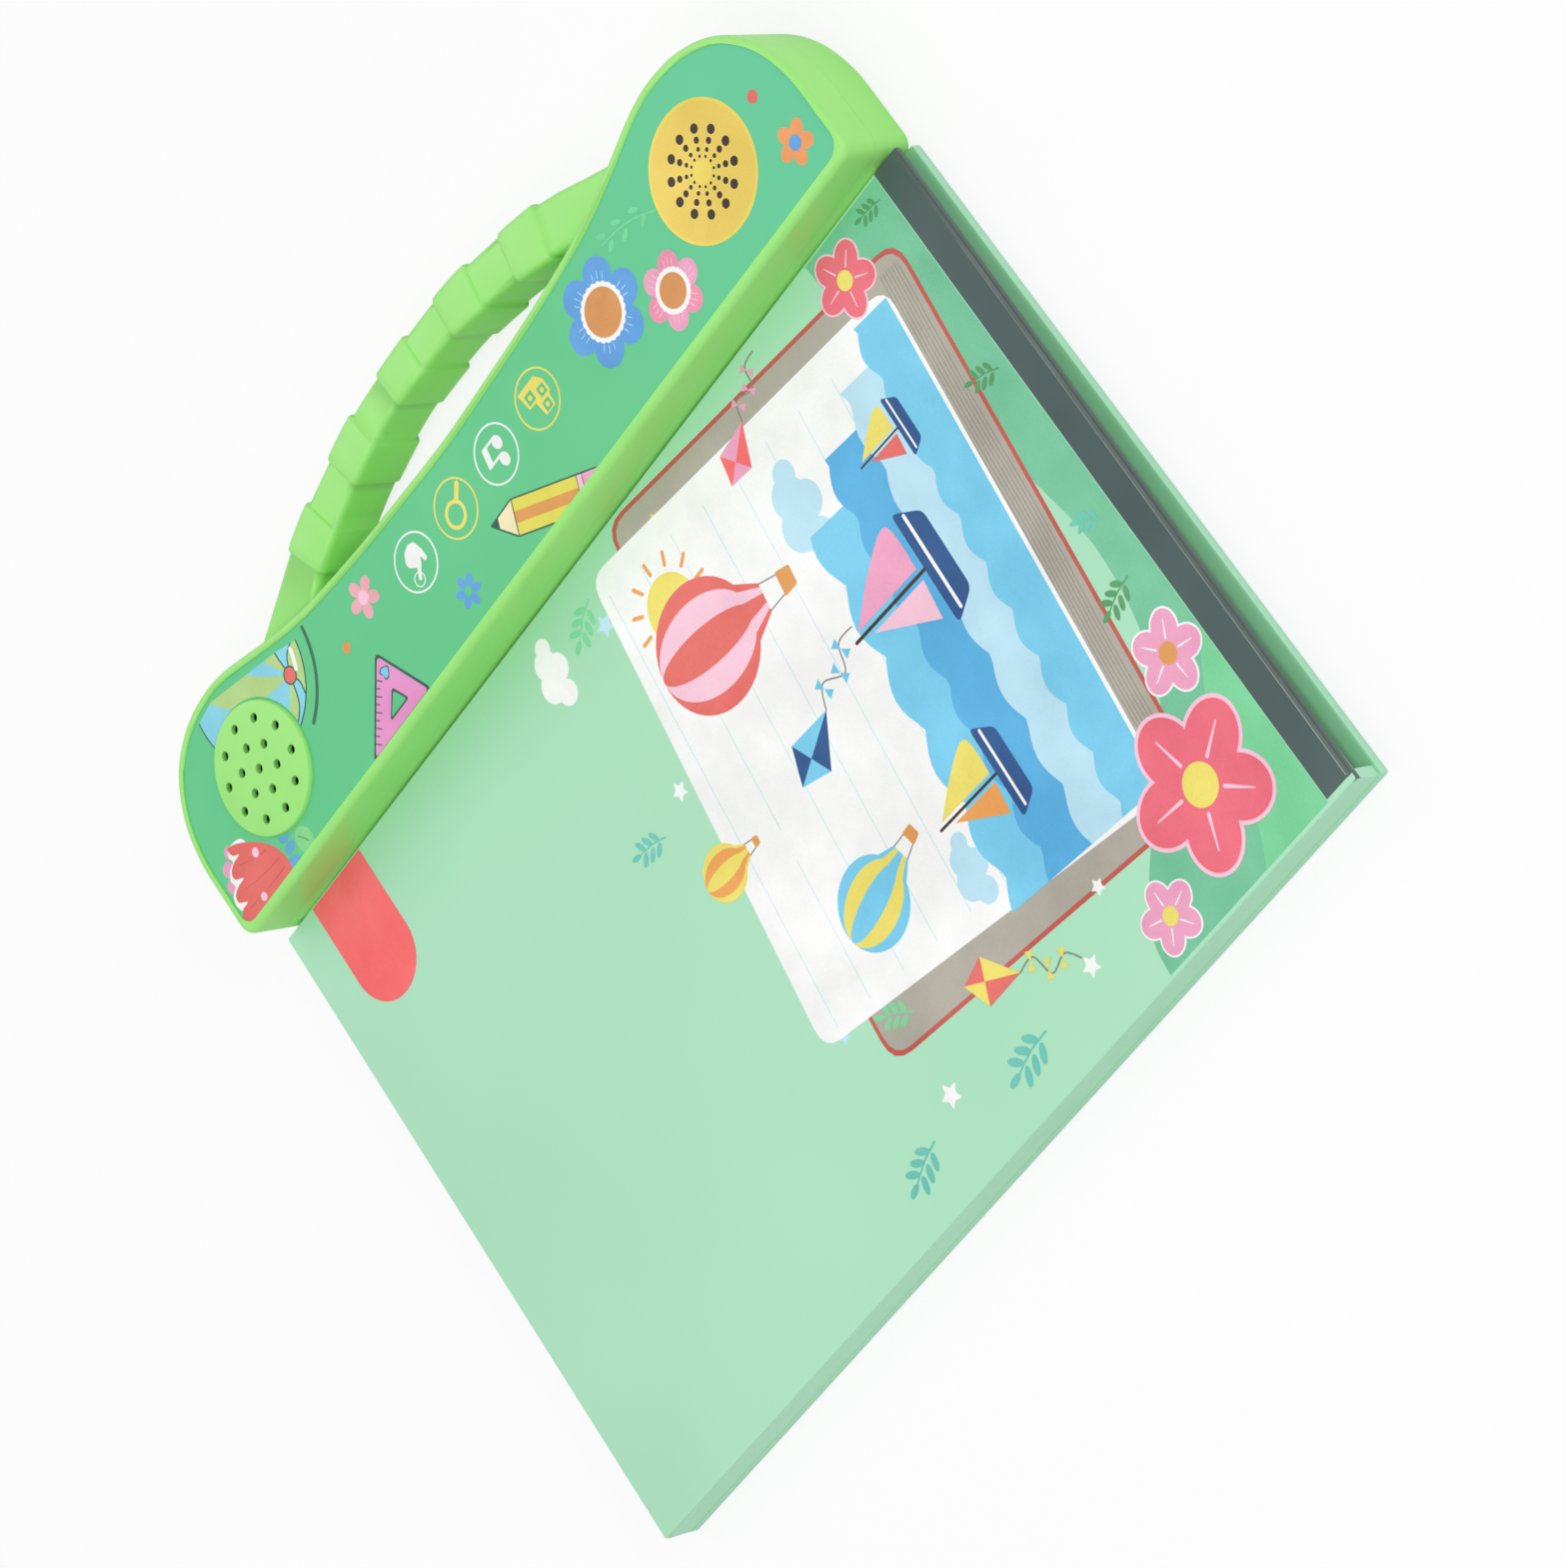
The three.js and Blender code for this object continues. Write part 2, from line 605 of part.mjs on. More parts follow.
// Keys
keyPlaces.forEach((place, i) => {
  const key = turned(place, [
    [0, DOME_TOP + KEY_TRAVEL + 0.1],
    [KEY_STEM_R, DOME_TOP + KEY_TRAVEL + 0.1],
    [KEY_STEM_R, CEILING - 1.3],
    [KEY_FLANGE_R, CEILING - 1.3],
    [KEY_FLANGE_R, CEILING - 0.4],
    [KEY_R, CEILING - 0.4],
    [KEY_R, KEY_TOP],
    [0, KEY_TOP],
  ], 20);
  addPart(KEY_NAMES[i], key, 0xe9ece6);
});

// Rubber key mat with four domes
const matY = [KEY_LAST_Y - KEY_FLANGE_R, KEY_FIRST_Y + KEY_FLANGE_R];
let keyMat = block(around(KEY_X, KEY_FLANGE_R), matY, [MAT_Z, MAT_Z + MAT_T]);
keyPlaces.forEach((place) => {
  keyMat = keyMat.add(turned(place, [
    [0, MAT_Z + MAT_T - 0.3],
    [4.4, MAT_Z + MAT_T - 0.3],
    [4.2, MAT_Z + MAT_T],
    [2.8, DOME_TOP - 0.6],
    [2.4, DOME_TOP],
    [0, DOME_TOP],
  ], 16));
});
addPart('key_mat', keyMat, 0xdfe3e6);

// Circuit board and what is soldered under it
let circuitBoard = block(PCB_X, PCB_Y, [PCB_Z, PCB_Z + PCB_T]);
STANDOFFS.forEach((place) => {
  circuitBoard = circuitBoard.subtract(disc(place, 1.2, [PCB_Z - 1, PCB_Z + PCB_T + 1], 12));
});
addPart('circuit_board', circuitBoard, 0x2c7a4b);
const chip = turned(CHIP, [
  [0, PCB_Z - GAP],
  [6, PCB_Z - GAP],
  [5.4, PCB_Z - 1.3],
  [3.2, PCB_Z - 2.2],
  [0, PCB_Z - 2.5],
].reverse(), 24);
addPart('sound_chip', chip, 0x1c1d20);

// Power switch
const switchBody = block(
  around(SWITCH[0], 3),
  around(SWITCH[1], 6),
  [4.6, PCB_Z - GAP],
).subtract(block(
  around(SWITCH[0], 1.5),
  around(SWITCH[1], 4.4),
  [4, 6.4],
));
addPart('switch_body', switchBody, 0xb9bcc0);
const sliderY = SWITCH[1] - SWITCH_TRAVEL / 2;
const sliderTop = block(around(SWITCH[0], 1.2), around(sliderY, 1.6), [FLOOR + 0.4, 6]);
const sliderCap = block(
  around(SWITCH[0], SWITCH_WINDOW[0] / 2 - GAP),
  around(sliderY, 2.4),
  [TABLE_Z + 0.5, FLOOR + 1],
);
addPart('power_slider', sliderTop.add(sliderCap), 0x2b2d30);

// Loudspeaker
addPart('speaker_frame', turned(SPEAKER, [
  [12.2, CEILING - GAP],
  [SPEAKER_R, CEILING - GAP],
  [SPEAKER_R, CEILING - 1.1],
  [13, CEILING - 1.1],
  [9.6, 9.3],
  [4.2, 9.3],
  [4.2, 10.1],
  [9.1, 10.1],
  [12.2, CEILING - 0.9],
  [12.2, CEILING - GAP],
].reverse(), 28), 0x8d9196);
addPart('speaker_cone', turned(SPEAKER, [
  [0, 12],
  [3.9, 11],
  [11.3, 16],
  [11.3, 16.5],
  [3.7, 11.6],
  [0, 12.7],
], 24), 0x2a2a2c);
addPart('speaker_magnet', disc(SPEAKER, 8.6, [4, 9], 32), 0x55585c);

// Pressed bump of a contact plate, from the plate's face almost to the cell
function contactBump(x, faceY, cellY) {
  const low = Math.min(faceY, cellY);
  const high = Math.max(faceY, cellY);
  const bump = new THREE.CylinderGeometry(1.6, 1.6, high - low + 0.3, 16);
  bump.translate(x, (low + high) / 2 + (faceY < cellY ? -0.15 : 0.15), CELL_Z + CELL_R);
  return solidOf(bump);
}

// Battery compartment
CELL_X.forEach((x, i) => {
  const cell = new THREE.CylinderGeometry(CELL_R, CELL_R, CELL_LENGTH - 1, 28);
  cell.translate(x, CELL_Y + (CELL_LENGTH - 1) / 2, CELL_Z + CELL_R);
  const nub = new THREE.CylinderGeometry(1.9, 1.9, 2, 16);
  nub.translate(x, CELL_Y + CELL_LENGTH - 1, CELL_Z + CELL_R);
  let solid = solidOf(cell).add(solidOf(nub));
  if (i === 1) {
    solid = solid.mirror([0, 1, 0]).translate([0, 2 * CELL_Y + CELL_LENGTH, 0]);
  }
  addPart(`battery_${i + 1}`, solid, 0x3a3f46);
});
const contactZ = [CELL_Z + 1.6, CELL_Z + 2 * CELL_R - 1.6];
const nearY = [BAY_Y[0] + GAP, BAY_Y[0] + GAP + CONTACT_T];
const farY = [BAY_Y[1] - GAP - CONTACT_T, BAY_Y[1] - GAP];
const bridge = block([CELL_X[0] - 3.6, CELL_X[1] + 3.6], nearY, contactZ)
  .add(contactBump(CELL_X[0], nearY[1], CELL_Y - 0.1))
  .add(contactBump(CELL_X[1], nearY[1], CELL_Y - 0.1));
addPart('battery_bridge', bridge, 0xc9ccd0);
CELL_X.forEach((x, i) => {
  const plate = block(around(x, 3.6), farY, contactZ)
    .add(contactBump(x, farY[0], CELL_Y + CELL_LENGTH + 0.1));
  addPart(`battery_contact_${i + 1}`, plate, 0xc9ccd0);
});

const doorPlate = block(
  [BAY_X[0] - DOOR_LEDGE + GAP, BAY_X[1] + DOOR_LEDGE - GAP],
  [BAY_Y[0] - DOOR_LEDGE + GAP, BAY_Y[1] + DOOR_LEDGE - GAP],
  [TABLE_Z + 0.1, DOOR_T],
);
const doorTab = block(DOOR_TAB_X, [BAY_Y[1], DOOR_TAB_END], [TABLE_Z + 0.1, DOOR_T]);
const doorHole = disc(DOOR_SCREW, SCREW_SHANK_R + 0.3, [TABLE_Z - 1, DOOR_T + 1], 16);
const doorSeat = disc(DOOR_SCREW, SCREW_HEAD_R + 0.3, [TABLE_Z - 1, TABLE_Z + 0.8], 20);
const batteryDoor = doorPlate.add(doorTab).subtract(doorHole).subtract(doorSeat);
addPart('battery_door', batteryDoor, GREEN_PLASTIC);

// Screw with a cross recess, driven up from below
function screw(place, headZ, headThickness, length) {
  const head = turned(place, [
    [0, headZ],
    [SCREW_HEAD_R - 0.5, headZ],
    [SCREW_HEAD_R, headZ + 0.4],
    [SCREW_HEAD_R, headZ + headThickness],
    [SCREW_SHANK_R, headZ + headThickness],
    [SCREW_SHANK_R, headZ + length - 1],
    [0, headZ + length],
  ], 12);
  const depth = headThickness * 0.55;
  const slotA = block(around(place[0], 1.4), around(place[1], 0.35), [headZ - 1, headZ + depth]);
  const slotB = block(around(place[0], 0.35), around(place[1], 1.4), [headZ - 1, headZ + depth]);
  return head.subtract(slotA).subtract(slotB);
}

SCREWS.forEach((place, i) => {
  const headZ = SCREW_SEAT_Z - GAP - SCREW_HEAD_T;
  addPart(`housing_screw_${i + 1}`, screw(place, headZ, SCREW_HEAD_T, SCREW_LENGTH + SCREW_HEAD_T), 0xa8abb0);
});
addPart('door_screw', screw(DOOR_SCREW, TABLE_Z + 0.1, 0.6, 7.5), 0xa8abb0);

// Origin on the table under the middle of the object
const bounds = new THREE.Box3();
parts.forEach((mesh) => {
  mesh.geometry.computeBoundingBox();
  bounds.union(mesh.geometry.boundingBox);
});
const shiftX = -(bounds.min.x + bounds.max.x) / 2;
const shiftY = -(bounds.min.y + bounds.max.y) / 2;

const soundBook = new THREE.Group();
soundBook.name = 'sound_book';
parts.forEach((mesh) => {
  mesh.geometry.translate(shiftX, shiftY, -bounds.min.z);
  mesh.geometry.computeVertexNormals();
  soundBook.add(mesh);
});

export default soundBook;
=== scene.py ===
import math
import bmesh
import bpy
from mathutils import Matrix, Vector
from mathutils.geometry import tessellate_polygon


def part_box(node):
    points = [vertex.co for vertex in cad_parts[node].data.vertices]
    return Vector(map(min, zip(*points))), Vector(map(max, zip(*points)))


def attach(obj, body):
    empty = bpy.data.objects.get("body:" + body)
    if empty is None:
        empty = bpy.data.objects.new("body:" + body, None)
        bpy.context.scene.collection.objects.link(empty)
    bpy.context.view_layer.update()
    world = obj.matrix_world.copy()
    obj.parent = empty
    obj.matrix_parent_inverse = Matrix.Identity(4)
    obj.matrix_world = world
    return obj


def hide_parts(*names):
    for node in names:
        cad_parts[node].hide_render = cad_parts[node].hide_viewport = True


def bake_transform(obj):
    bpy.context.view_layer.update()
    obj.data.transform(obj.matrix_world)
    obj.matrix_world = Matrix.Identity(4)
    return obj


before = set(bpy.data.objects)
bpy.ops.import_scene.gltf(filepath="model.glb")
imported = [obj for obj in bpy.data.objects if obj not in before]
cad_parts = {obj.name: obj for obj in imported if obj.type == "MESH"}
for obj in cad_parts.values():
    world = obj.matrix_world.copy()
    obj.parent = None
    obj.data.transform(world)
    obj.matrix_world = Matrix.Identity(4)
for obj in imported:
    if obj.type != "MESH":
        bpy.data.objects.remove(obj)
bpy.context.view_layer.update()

MM = 0.001
SPINE_X = -0.5
FORE_X = 160.8
MIDDLE_Y = 116.2
BOOK_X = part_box("front_cover")[0].x - SPINE_X * MM
COVER_TOP = 10.4
COVER_FALL = 3 / 161.3
FILM_TOP = 19.6
FILM_LEFT = 163.3
GRILLE = (184.2, 207.3)
GRILLE_CLEAR = 15.4
DISC = (185.0, 24.0)
KEY_X = 184.4
KEY_Y = (140.4, 123.55, 106.7, 89.85)
SEAM_UPPER = 10.65
SEAM_LOWER = 10.35
SEAM_MOVE = 0.13
FILM_WIDENING = 0.27
SPINE_CLEARANCE = 0.04
CREASE_HALF = 123.6
# ink: how deep it reaches, how far it stands up, one layer's step, one shape's own step
INK_ROOT = 0.012
INK_LIFT = 0.008
INK_LAYER = 0.012
INK_OWN = 0.0004
FLOOR_WHITE = 0.8
WORLD_LIGHT = 0.5


def spot(x, y, z):
    return Vector((x * MM + BOOK_X, (y - MIDDLE_Y) * MM, z * MM))


def srgb(red, green, blue):
    linear = []
    for value in (red, green, blue):
        share = value / 255
        linear.append(share / 12.92 if share <= 0.04045 else ((share + 0.055) / 1.055) ** 2.4)
    return (*linear, 1)


def placed(name, data):
    """New object in the scene, with this mesh, lamp or camera."""
    made = bpy.data.objects.new(name, data)
    bpy.context.scene.collection.objects.link(made)
    return made


# Finishes


class Nodes:
    """A node tree that grows node by node."""

    def __init__(self, tree):
        self.tree = tree

    def feed(self, socket, value):
        if isinstance(value, bpy.types.NodeSocket):
            self.tree.links.new(value, socket)
        else:
            socket.default_value = value

    def node(self, kind, inputs=None, **settings):
        made = self.tree.nodes.new(kind)
        for key, value in settings.items():
            setattr(made, key, value)
        for key, value in (inputs or {}).items():
            self.feed(made.inputs[key], value)
        return made

    def math(self, operation, a, b=0.0):
        return self.node("ShaderNodeMath", {0: a, 1: b}, operation=operation).outputs[0]

    def plus(self, a, b):
        return self.math("ADD", a, b)

    def minus(self, a, b):
        return self.math("SUBTRACT", a, b)

    def times(self, a, b):
        return self.math("MULTIPLY", a, b)

    def over(self, a, b):
        return self.math("DIVIDE", a, b)


class Finish(Nodes):
    """A material whose patterns lie on object coordinates, in metres. Colours are written from 0 to 255."""

    def __init__(self, name):
        self.material = bpy.data.materials.new(name)
        self.material.use_nodes = True
        super().__init__(self.material.node_tree)
        self.shader = self.tree.nodes["Principled BSDF"]
        self.coords = self.node("ShaderNodeTexCoord").outputs["Object"]

    def noise(self, scale, detail, stretch=None):
        coords = self.coords
        if stretch:
            coords = self.node("ShaderNodeMapping", {"Vector": coords, "Scale": stretch}).outputs["Vector"]
        return self.node("ShaderNodeTexNoise", {"Vector": coords, "Scale": scale, "Detail": detail}).outputs["Fac"]

    def ramp(self, value, low, high, to_low=0.0, to_high=1.0):
        ends = {"From Min": low, "From Max": high, "To Min": to_low, "To Max": to_high}
        return self.node("ShaderNodeMapRange", {"Value": value, **ends}).outputs["Result"]

    def patches(self, scale, detail, low=0.0, high=1.0):
        """Soft patches between two values."""
        return self.ramp(self.noise(scale, detail), 0.3, 0.7, low, high)

    def mix(self, share, a, b):
        a, b = (srgb(*value) if isinstance(value, tuple) else value for value in (a, b))
        return self.node("ShaderNodeMix", {"Factor": share, "A": a, "B": b}, data_type="RGBA").outputs["Result"]

    def axes(self):
        made = self.node("ShaderNodeSeparateXYZ", {0: self.coords})
        return [made.outputs[axis] for axis in "XYZ"]

    def bump(self, height, depth, strength=1.0):
        """Relief from a pattern, or from noise of a given scale and detail."""
        height = self.noise(*height) if isinstance(height, tuple) else height
        made = self.node("ShaderNodeBump", {"Strength": strength, "Distance": depth, "Height": height})
        self.feed(self.shader.inputs["Normal"], made.outputs["Normal"])

    def done(self, colour, rough, **sockets):
        """The material with this colour, patches of roughness and single numbers for other sockets."""
        self.feed(self.shader.inputs["Base Color"], colour)
        self.feed(self.shader.inputs["Roughness"], self.patches(*rough))
        for key, value in sockets.items():
            self.shader.inputs[key.replace("_", " ").title().replace("Ior", "IOR")].default_value = value
        return self.material


def moulded(name, colour, other, patch=60, grain=420, depth=0.000003, rough=(0.3, 0.38), **sockets):
    """Moulded, coated or rubbed surface: drifting colour, fine grain and uneven gloss."""
    finish = Finish(name)
    finish.bump((grain, 2), depth)
    return finish.done(finish.mix(finish.patches(patch, 3), colour, other), (patch * 3, 2, *rough), **sockets)


def metal(name, colour, other, rough=(0.25, 0.42)):
    """Plated sheet or turned metal with drawn lines."""
    finish = Finish(name)
    lines = finish.noise(700, 4, stretch=(0.08, 1, 1))
    finish.bump(lines, 0.00001, 0.6)
    return finish.done(finish.mix(finish.ramp(lines, 0.3, 0.7), colour, other), (240, 3, *rough), metallic=1.0)


def ink(name, colour, drift=12):
    """Print under a clear laminate, with a slightly uneven, airbrushed tone and a fine dot screen."""
    finish = Finish("ink_" + name)
    deeper = tuple(max(value - drift, 0) for value in colour)
    lighter = tuple(min(value + drift * 0.5, 255) for value in colour)
    cloud = finish.ramp(finish.noise(55, 4), 0.35, 0.65)
    dots = finish.ramp(finish.noise(2600, 1), 0.45, 0.6)
    share = finish.plus(finish.times(dots, 0.2), finish.times(cloud, 0.8))
    finish.bump((900, 3), 0.000004)
    return finish.done(finish.mix(share, deeper, lighter), (160, 2, 0.36, 0.44), specular_ior_level=0.25)


INKS = {
    "white": (250, 251, 248), "cream": (247, 236, 190), "dark": (62, 46, 36), "outline": (44, 92, 80),
    "mid_green": (120, 198, 158), "leaf_green": (92, 158, 104), "deep_green": (60, 112, 84),
    "sprig_green": (126, 214, 158), "sprig_faint": (118, 212, 156), "leaf_pale": (138, 214, 142),
    "film_green": (96, 198, 137), "teal": (112, 198, 182), "ball_green": (182, 214, 138),
    "sepal_blue": (100, 172, 212), "ball_blue": (140, 214, 234), "pale_blue": (190, 228, 244),
    "sky_blue": (124, 206, 238), "sea_blue": (92, 178, 226), "petal_blue": (98, 162, 224), "navy": (44, 86, 140),
    "pale_pink": (250, 202, 220), "petal_pink": (240, 166, 198), "petal_rose": (240, 150, 178),
    "petal_salmon": (240, 172, 184), "petal_orange": (238, 156, 96), "shape_pink": (232, 150, 204),
    "shape_red": (238, 112, 128), "coral": (230, 112, 104), "tab_red": (255, 112, 114), "line_red": (196, 92, 84),
    # the first two greys on the next row are painted light on the foot band: its lit turned edge and a highlight
    # hairline
    "band_edge": (92, 104, 99), "scuff": (158, 172, 166), "wood_grey": (178, 172, 160), "wood_dark": (142, 136, 126),
    "orange": (240, 166, 90), "gold": (226, 160, 90), "yellow": (240, 224, 110), "pencil_yellow": (230, 222, 92),
    "disc_yellow": (237, 208, 100), "disc_rim": (240, 218, 100), "dot_edge": (244, 222, 120),
    "heart_orange": (218, 152, 92),
}
made_inks = {}


def ink_of(name):
    if name not in made_inks:
        made_inks[name] = ink(name, INKS[name])
    return made_inks[name]


def cover_laminate(name, front):
    """Printed paper over board: light green, with the dark foot band and the lining of the front cover. The front
    board's edge at the foot is drawn lighter as painted light, and the back board's ledge darker as painted shade.
    """
    finish = Finish(name)
    x, y, z = finish.axes()
    drift = finish.ramp(finish.noise(9, 2), 0.35, 0.65)
    tint = finish.mix(drift, (169, 223, 188), (176, 228, 196))
    if front:
        slope = finish.times(finish.minus(x, BOOK_X + SPINE_X * MM), COVER_FALL)
        below = finish.minus(COVER_TOP * MM, finish.plus(z, slope))
        foot = spot(0, 0, 0).y
        crease = spot(0.9, 0, 0).x
        sheen = finish.patches(22, 3)
        tail_side = finish.ramp(y, foot + 0.0001, foot + 0.00015, 1, 0)
        inside_crease = finish.ramp(x, crease - 0.0001, crease + 0.0001)
        band = finish.mix(sheen, (66, 84, 83), (80, 98, 96))
        tint = finish.mix(finish.times(tail_side, inside_crease), tint, band)
        # painted light: the board's tail face, wrapped in the dark band print, is drawn a lighter grey
        board_side = finish.ramp(below, 0.0003, 0.00042)
        painted_light_tail_face = finish.times(board_side, finish.ramp(y, foot - 0.0066, foot - 0.0064, 1, 0))
        tint = finish.mix(painted_light_tail_face, tint, finish.mix(sheen, (84, 95, 90), (96, 107, 101)))
        inside = finish.ramp(below, 0.00150, 0.00160)
        in_y = finish.ramp(finish.math("ABSOLUTE", y), 0.1148, 0.1149, 1, 0)
        in_x = finish.ramp(x, spot(152, 0, 0).x, spot(152.1, 0, 0).x, 1, 0)
        lining = finish.mix(drift, (232, 238, 226), (238, 242, 232))
        tint = finish.mix(finish.times(inside, finish.times(in_y, in_x)), tint, lining)
    else:
        # painted shade: faces between 2.5 and 3.0 mm up, the back board's ledge under the front cover's overhang, are
        # drawn a darker, greener tone
        painted_shade_ledge = finish.times(finish.ramp(z, 0.0024, 0.0025), finish.ramp(z, 0.0030, 0.0031, 1, 0))
        tint = finish.mix(painted_shade_ledge, tint, finish.mix(drift, (142, 216, 164), (152, 222, 174)))
    finish.bump((1100, 5), 0.000012)
    return finish.done(tint, (80, 3, 0.38, 0.46), specular_ior_level=0.25)


def page_edges(name):
    """Coated leaves seen from their edges: fine lines that fan out towards the spine."""
    finish = Finish(name)
    x, y, z = finish.axes()
    top = finish.minus(spot(0, 0, 8.4).z, finish.times(finish.minus(x, BOOK_X), COVER_FALL))
    base = spot(0, 0, 3.6).z
    share = finish.over(finish.minus(z, base), finish.minus(top, base))
    line = finish.math("ABSOLUTE", finish.minus(finish.math("FRACT", finish.times(share, 7.0)), 0.5))
    groove = finish.times(finish.ramp(line, 0.40, 0.47), finish.ramp(share, 0.985, 0.99, 1, 0))
    paper = finish.mix(finish.patches(400, 4), (240, 239, 230), (248, 247, 240))
    finish.bump(groove, 0.00008, 0.8)
    return finish.done(finish.mix(groove, paper, (150, 148, 138)), (220, 2, 0.4, 0.5))


def cell_jacket(name):
    """Plain battery jacket: dark body with a copper-coloured end."""
    finish = Finish(name)
    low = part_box("battery_1")[0].y
    body = finish.mix(finish.patches(300, 3), (38, 42, 48), (48, 52, 58))
    copper = finish.mix(finish.patches(500, 3), (176, 110, 66), (190, 124, 78))
    tint = finish.mix(finish.ramp(finish.axes()[1], low + 0.0318, low + 0.0322), body, copper)
    finish.bump((1500, 2), 0.000004)
    return finish.done(tint, (300, 2, 0.24, 0.34), metallic=0.6)


def circuit_lacquer(name):
    """Green solder lacquer with copper tracks showing through."""
    finish = Finish(name)
    brick = {"Vector": finish.coords, "Scale": 90, "Mortar Size": 0.012}
    tracks = finish.node("ShaderNodeTexBrick", brick).outputs["Fac"]
    base = finish.mix(finish.patches(200, 3), (30, 104, 58), (38, 118, 66))
    finish.bump(tracks, 0.00002)
    return finish.done(finish.mix(tracks, base, (96, 160, 84)), (300, 2, 0.28, 0.4))


def printed_film_face(name):
    """Printed film: a soft green that turns bluer towards the tail."""
    finish = Finish(name)
    drift = finish.patches(25, 3)
    plain = finish.mix(drift, (94, 197, 135), (100, 201, 140))
    bluer = finish.mix(drift, (95, 199, 150), (101, 203, 155))
    near_tail = finish.ramp(finish.axes()[1], spot(0, 0, 0).y, spot(0, 75, 0).y, 1, 0)
    finish.bump((420, 2), 0.000003)
    return finish.done(finish.mix(near_tail, plain, bluer), (75, 2, 0.3, 0.36), specular_ior_level=0.25)


green_plastic = moulded(
    "green_gloss_plastic", (153, 229, 119), (159, 232, 126), rough=(0.32, 0.38), specular_ior_level=0.4
)
white_plastic = moulded("white_plastic", (232, 236, 228), (224, 229, 222), rough=(0.4, 0.5))
black_plastic = moulded("black_plastic", (34, 35, 38), (42, 43, 46), rough=(0.4, 0.55))
steel = metal("zinc_steel", (184, 187, 192), (150, 154, 160))

FACES = {
    "front_cover": cover_laminate("front_cover_laminate", True),
    "back_cover_and_spine": cover_laminate("back_cover_laminate", False),
    "touch_sheet": moulded("touch_sheet_plastic", (214, 217, 211), (206, 211, 205), rough=(0.42, 0.52)),
    "page_block": page_edges("page_leaves"),
    "printed_film": printed_film_face("film_face"),
    "key_mat": moulded("grey_rubber", (214, 219, 222), (204, 210, 214), rough=(0.6, 0.72)),
    "circuit_board": circuit_lacquer("board_lacquer"),
    "speaker_cone": moulded(
        "cone_paper", (40, 40, 42), (52, 52, 54), grain=2200, depth=0.00004, rough=(0.7, 0.85)
    ),
    "speaker_magnet": metal("magnet_iron", (96, 98, 102), (76, 79, 84), rough=(0.4, 0.55)),
    "battery_1": cell_jacket("cell_jacket"),
    "battery_2": cell_jacket("cell_jacket_turned"),
    **dict.fromkeys(("top_shell", "bottom_shell", "handle", "battery_door"), green_plastic),
    **dict.fromkeys(("hand_key", "lens_key", "music_key", "blocks_key"), white_plastic),
    **dict.fromkeys(("sound_chip", "power_slider"), black_plastic),
}
for name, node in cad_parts.items():
    node.data.materials.clear()
    node.data.materials.append(FACES.get(name, steel))


# Meshes


def new_object(name, vertices, faces, materials, indices=None):
    mesh = bpy.data.meshes.new(name)
    mesh.from_pydata([tuple(v) for v in vertices], [], faces)
    for made in materials:
        mesh.materials.append(made)
    if indices:
        mesh.polygons.foreach_set("material_index", indices)
    mesh.update()
    return placed(name, mesh)


def smoothed(name, node, body, angle=32, adjust=None):
    """A moulded piece with its facets welded and shaded round, in place of the frame's loose triangles."""
    work = bmesh.new()
    work.from_mesh(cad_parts[node].data)
    bmesh.ops.remove_doubles(work, verts=work.verts, dist=0.000002)
    bmesh.ops.dissolve_limit(work, angle_limit=math.radians(0.5), verts=work.verts, edges=work.edges)
    if adjust:
        adjust(work)
    mesh = bpy.data.meshes.new(name)
    work.to_mesh(mesh)
    work.free()
    mesh.materials.append(FACES.get(node, steel))
    mesh.polygons.foreach_set("use_smooth", [True] * len(mesh.polygons))
    mesh.set_sharp_from_angle(angle=math.radians(angle))
    piece = placed(name, mesh)
    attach(piece, body)
    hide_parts(node)
    return piece


def seam_shift(level, move):
    """Moves the lip at the housing's seam, so that the halves meet in a fine line."""

    def adjust(work):
        for v in work.verts:
            if abs(v.co.z - level * MM) < 0.00001:
                v.co.z += move * MM

    return adjust


def fill_recess(work):
    """Widens the film to a hair's breadth from the rim and the grille."""
    work.normal_update()
    moves = {}
    for v in work.verts:
        push = Vector()
        for face in v.link_faces:
            if abs(face.normal.z) < 0.2:
                push += Vector((face.normal.x, face.normal.y, 0))
        if push.length > 0:
            moves[v] = push.normalized() * FILM_WIDENING * MM
    for v, move in moves.items():
        v.co += move


def clear_of_spine(work):
    """Draws the front cover's crease edge in, so that it passes the spine wall when the book lies open."""
    for v in work.verts:
        if v.co.x < BOOK_X + (SPINE_X + 0.02) * MM:
            v.co.x += SPINE_CLEARANCE * MM


for node, slot, adjust in (
    ("top_shell", "green_plastic", seam_shift(SEAM_UPPER, -SEAM_MOVE)),
    ("bottom_shell", "green_plastic", seam_shift(SEAM_LOWER, SEAM_MOVE)),
    ("handle", "green_plastic", None),
    ("printed_film", "film_plastic", fill_recess),
    ("back_cover_and_spine", "cover_board", None),
):
    smoothed(node + "_finished", node, "book", adjust=adjust)
cover_finished = smoothed("front_cover_finished", "front_cover", "front_cover", adjust=clear_of_spine)


# Flat shapes of print, in book millimetres


def polar(x, y, radius, angle):
    """The point at this distance from x, y, in a direction given in degrees."""
    return x + radius * math.cos(math.radians(angle)), y + radius * math.sin(math.radians(angle))


def circle(x, y, radius, count=40):
    return ellipse(x, y, radius, radius, 0, count)


def ellipse(x, y, long, short, turn=0.0, count=36):
    c, s = math.cos(math.radians(turn)), math.sin(math.radians(turn))
    points = []
    for i in range(count):
        a = 2 * math.pi * i / count
        u, v = long * math.cos(a), short * math.sin(a)
        points.append((x + u * c - v * s, y + u * s + v * c))
    return points


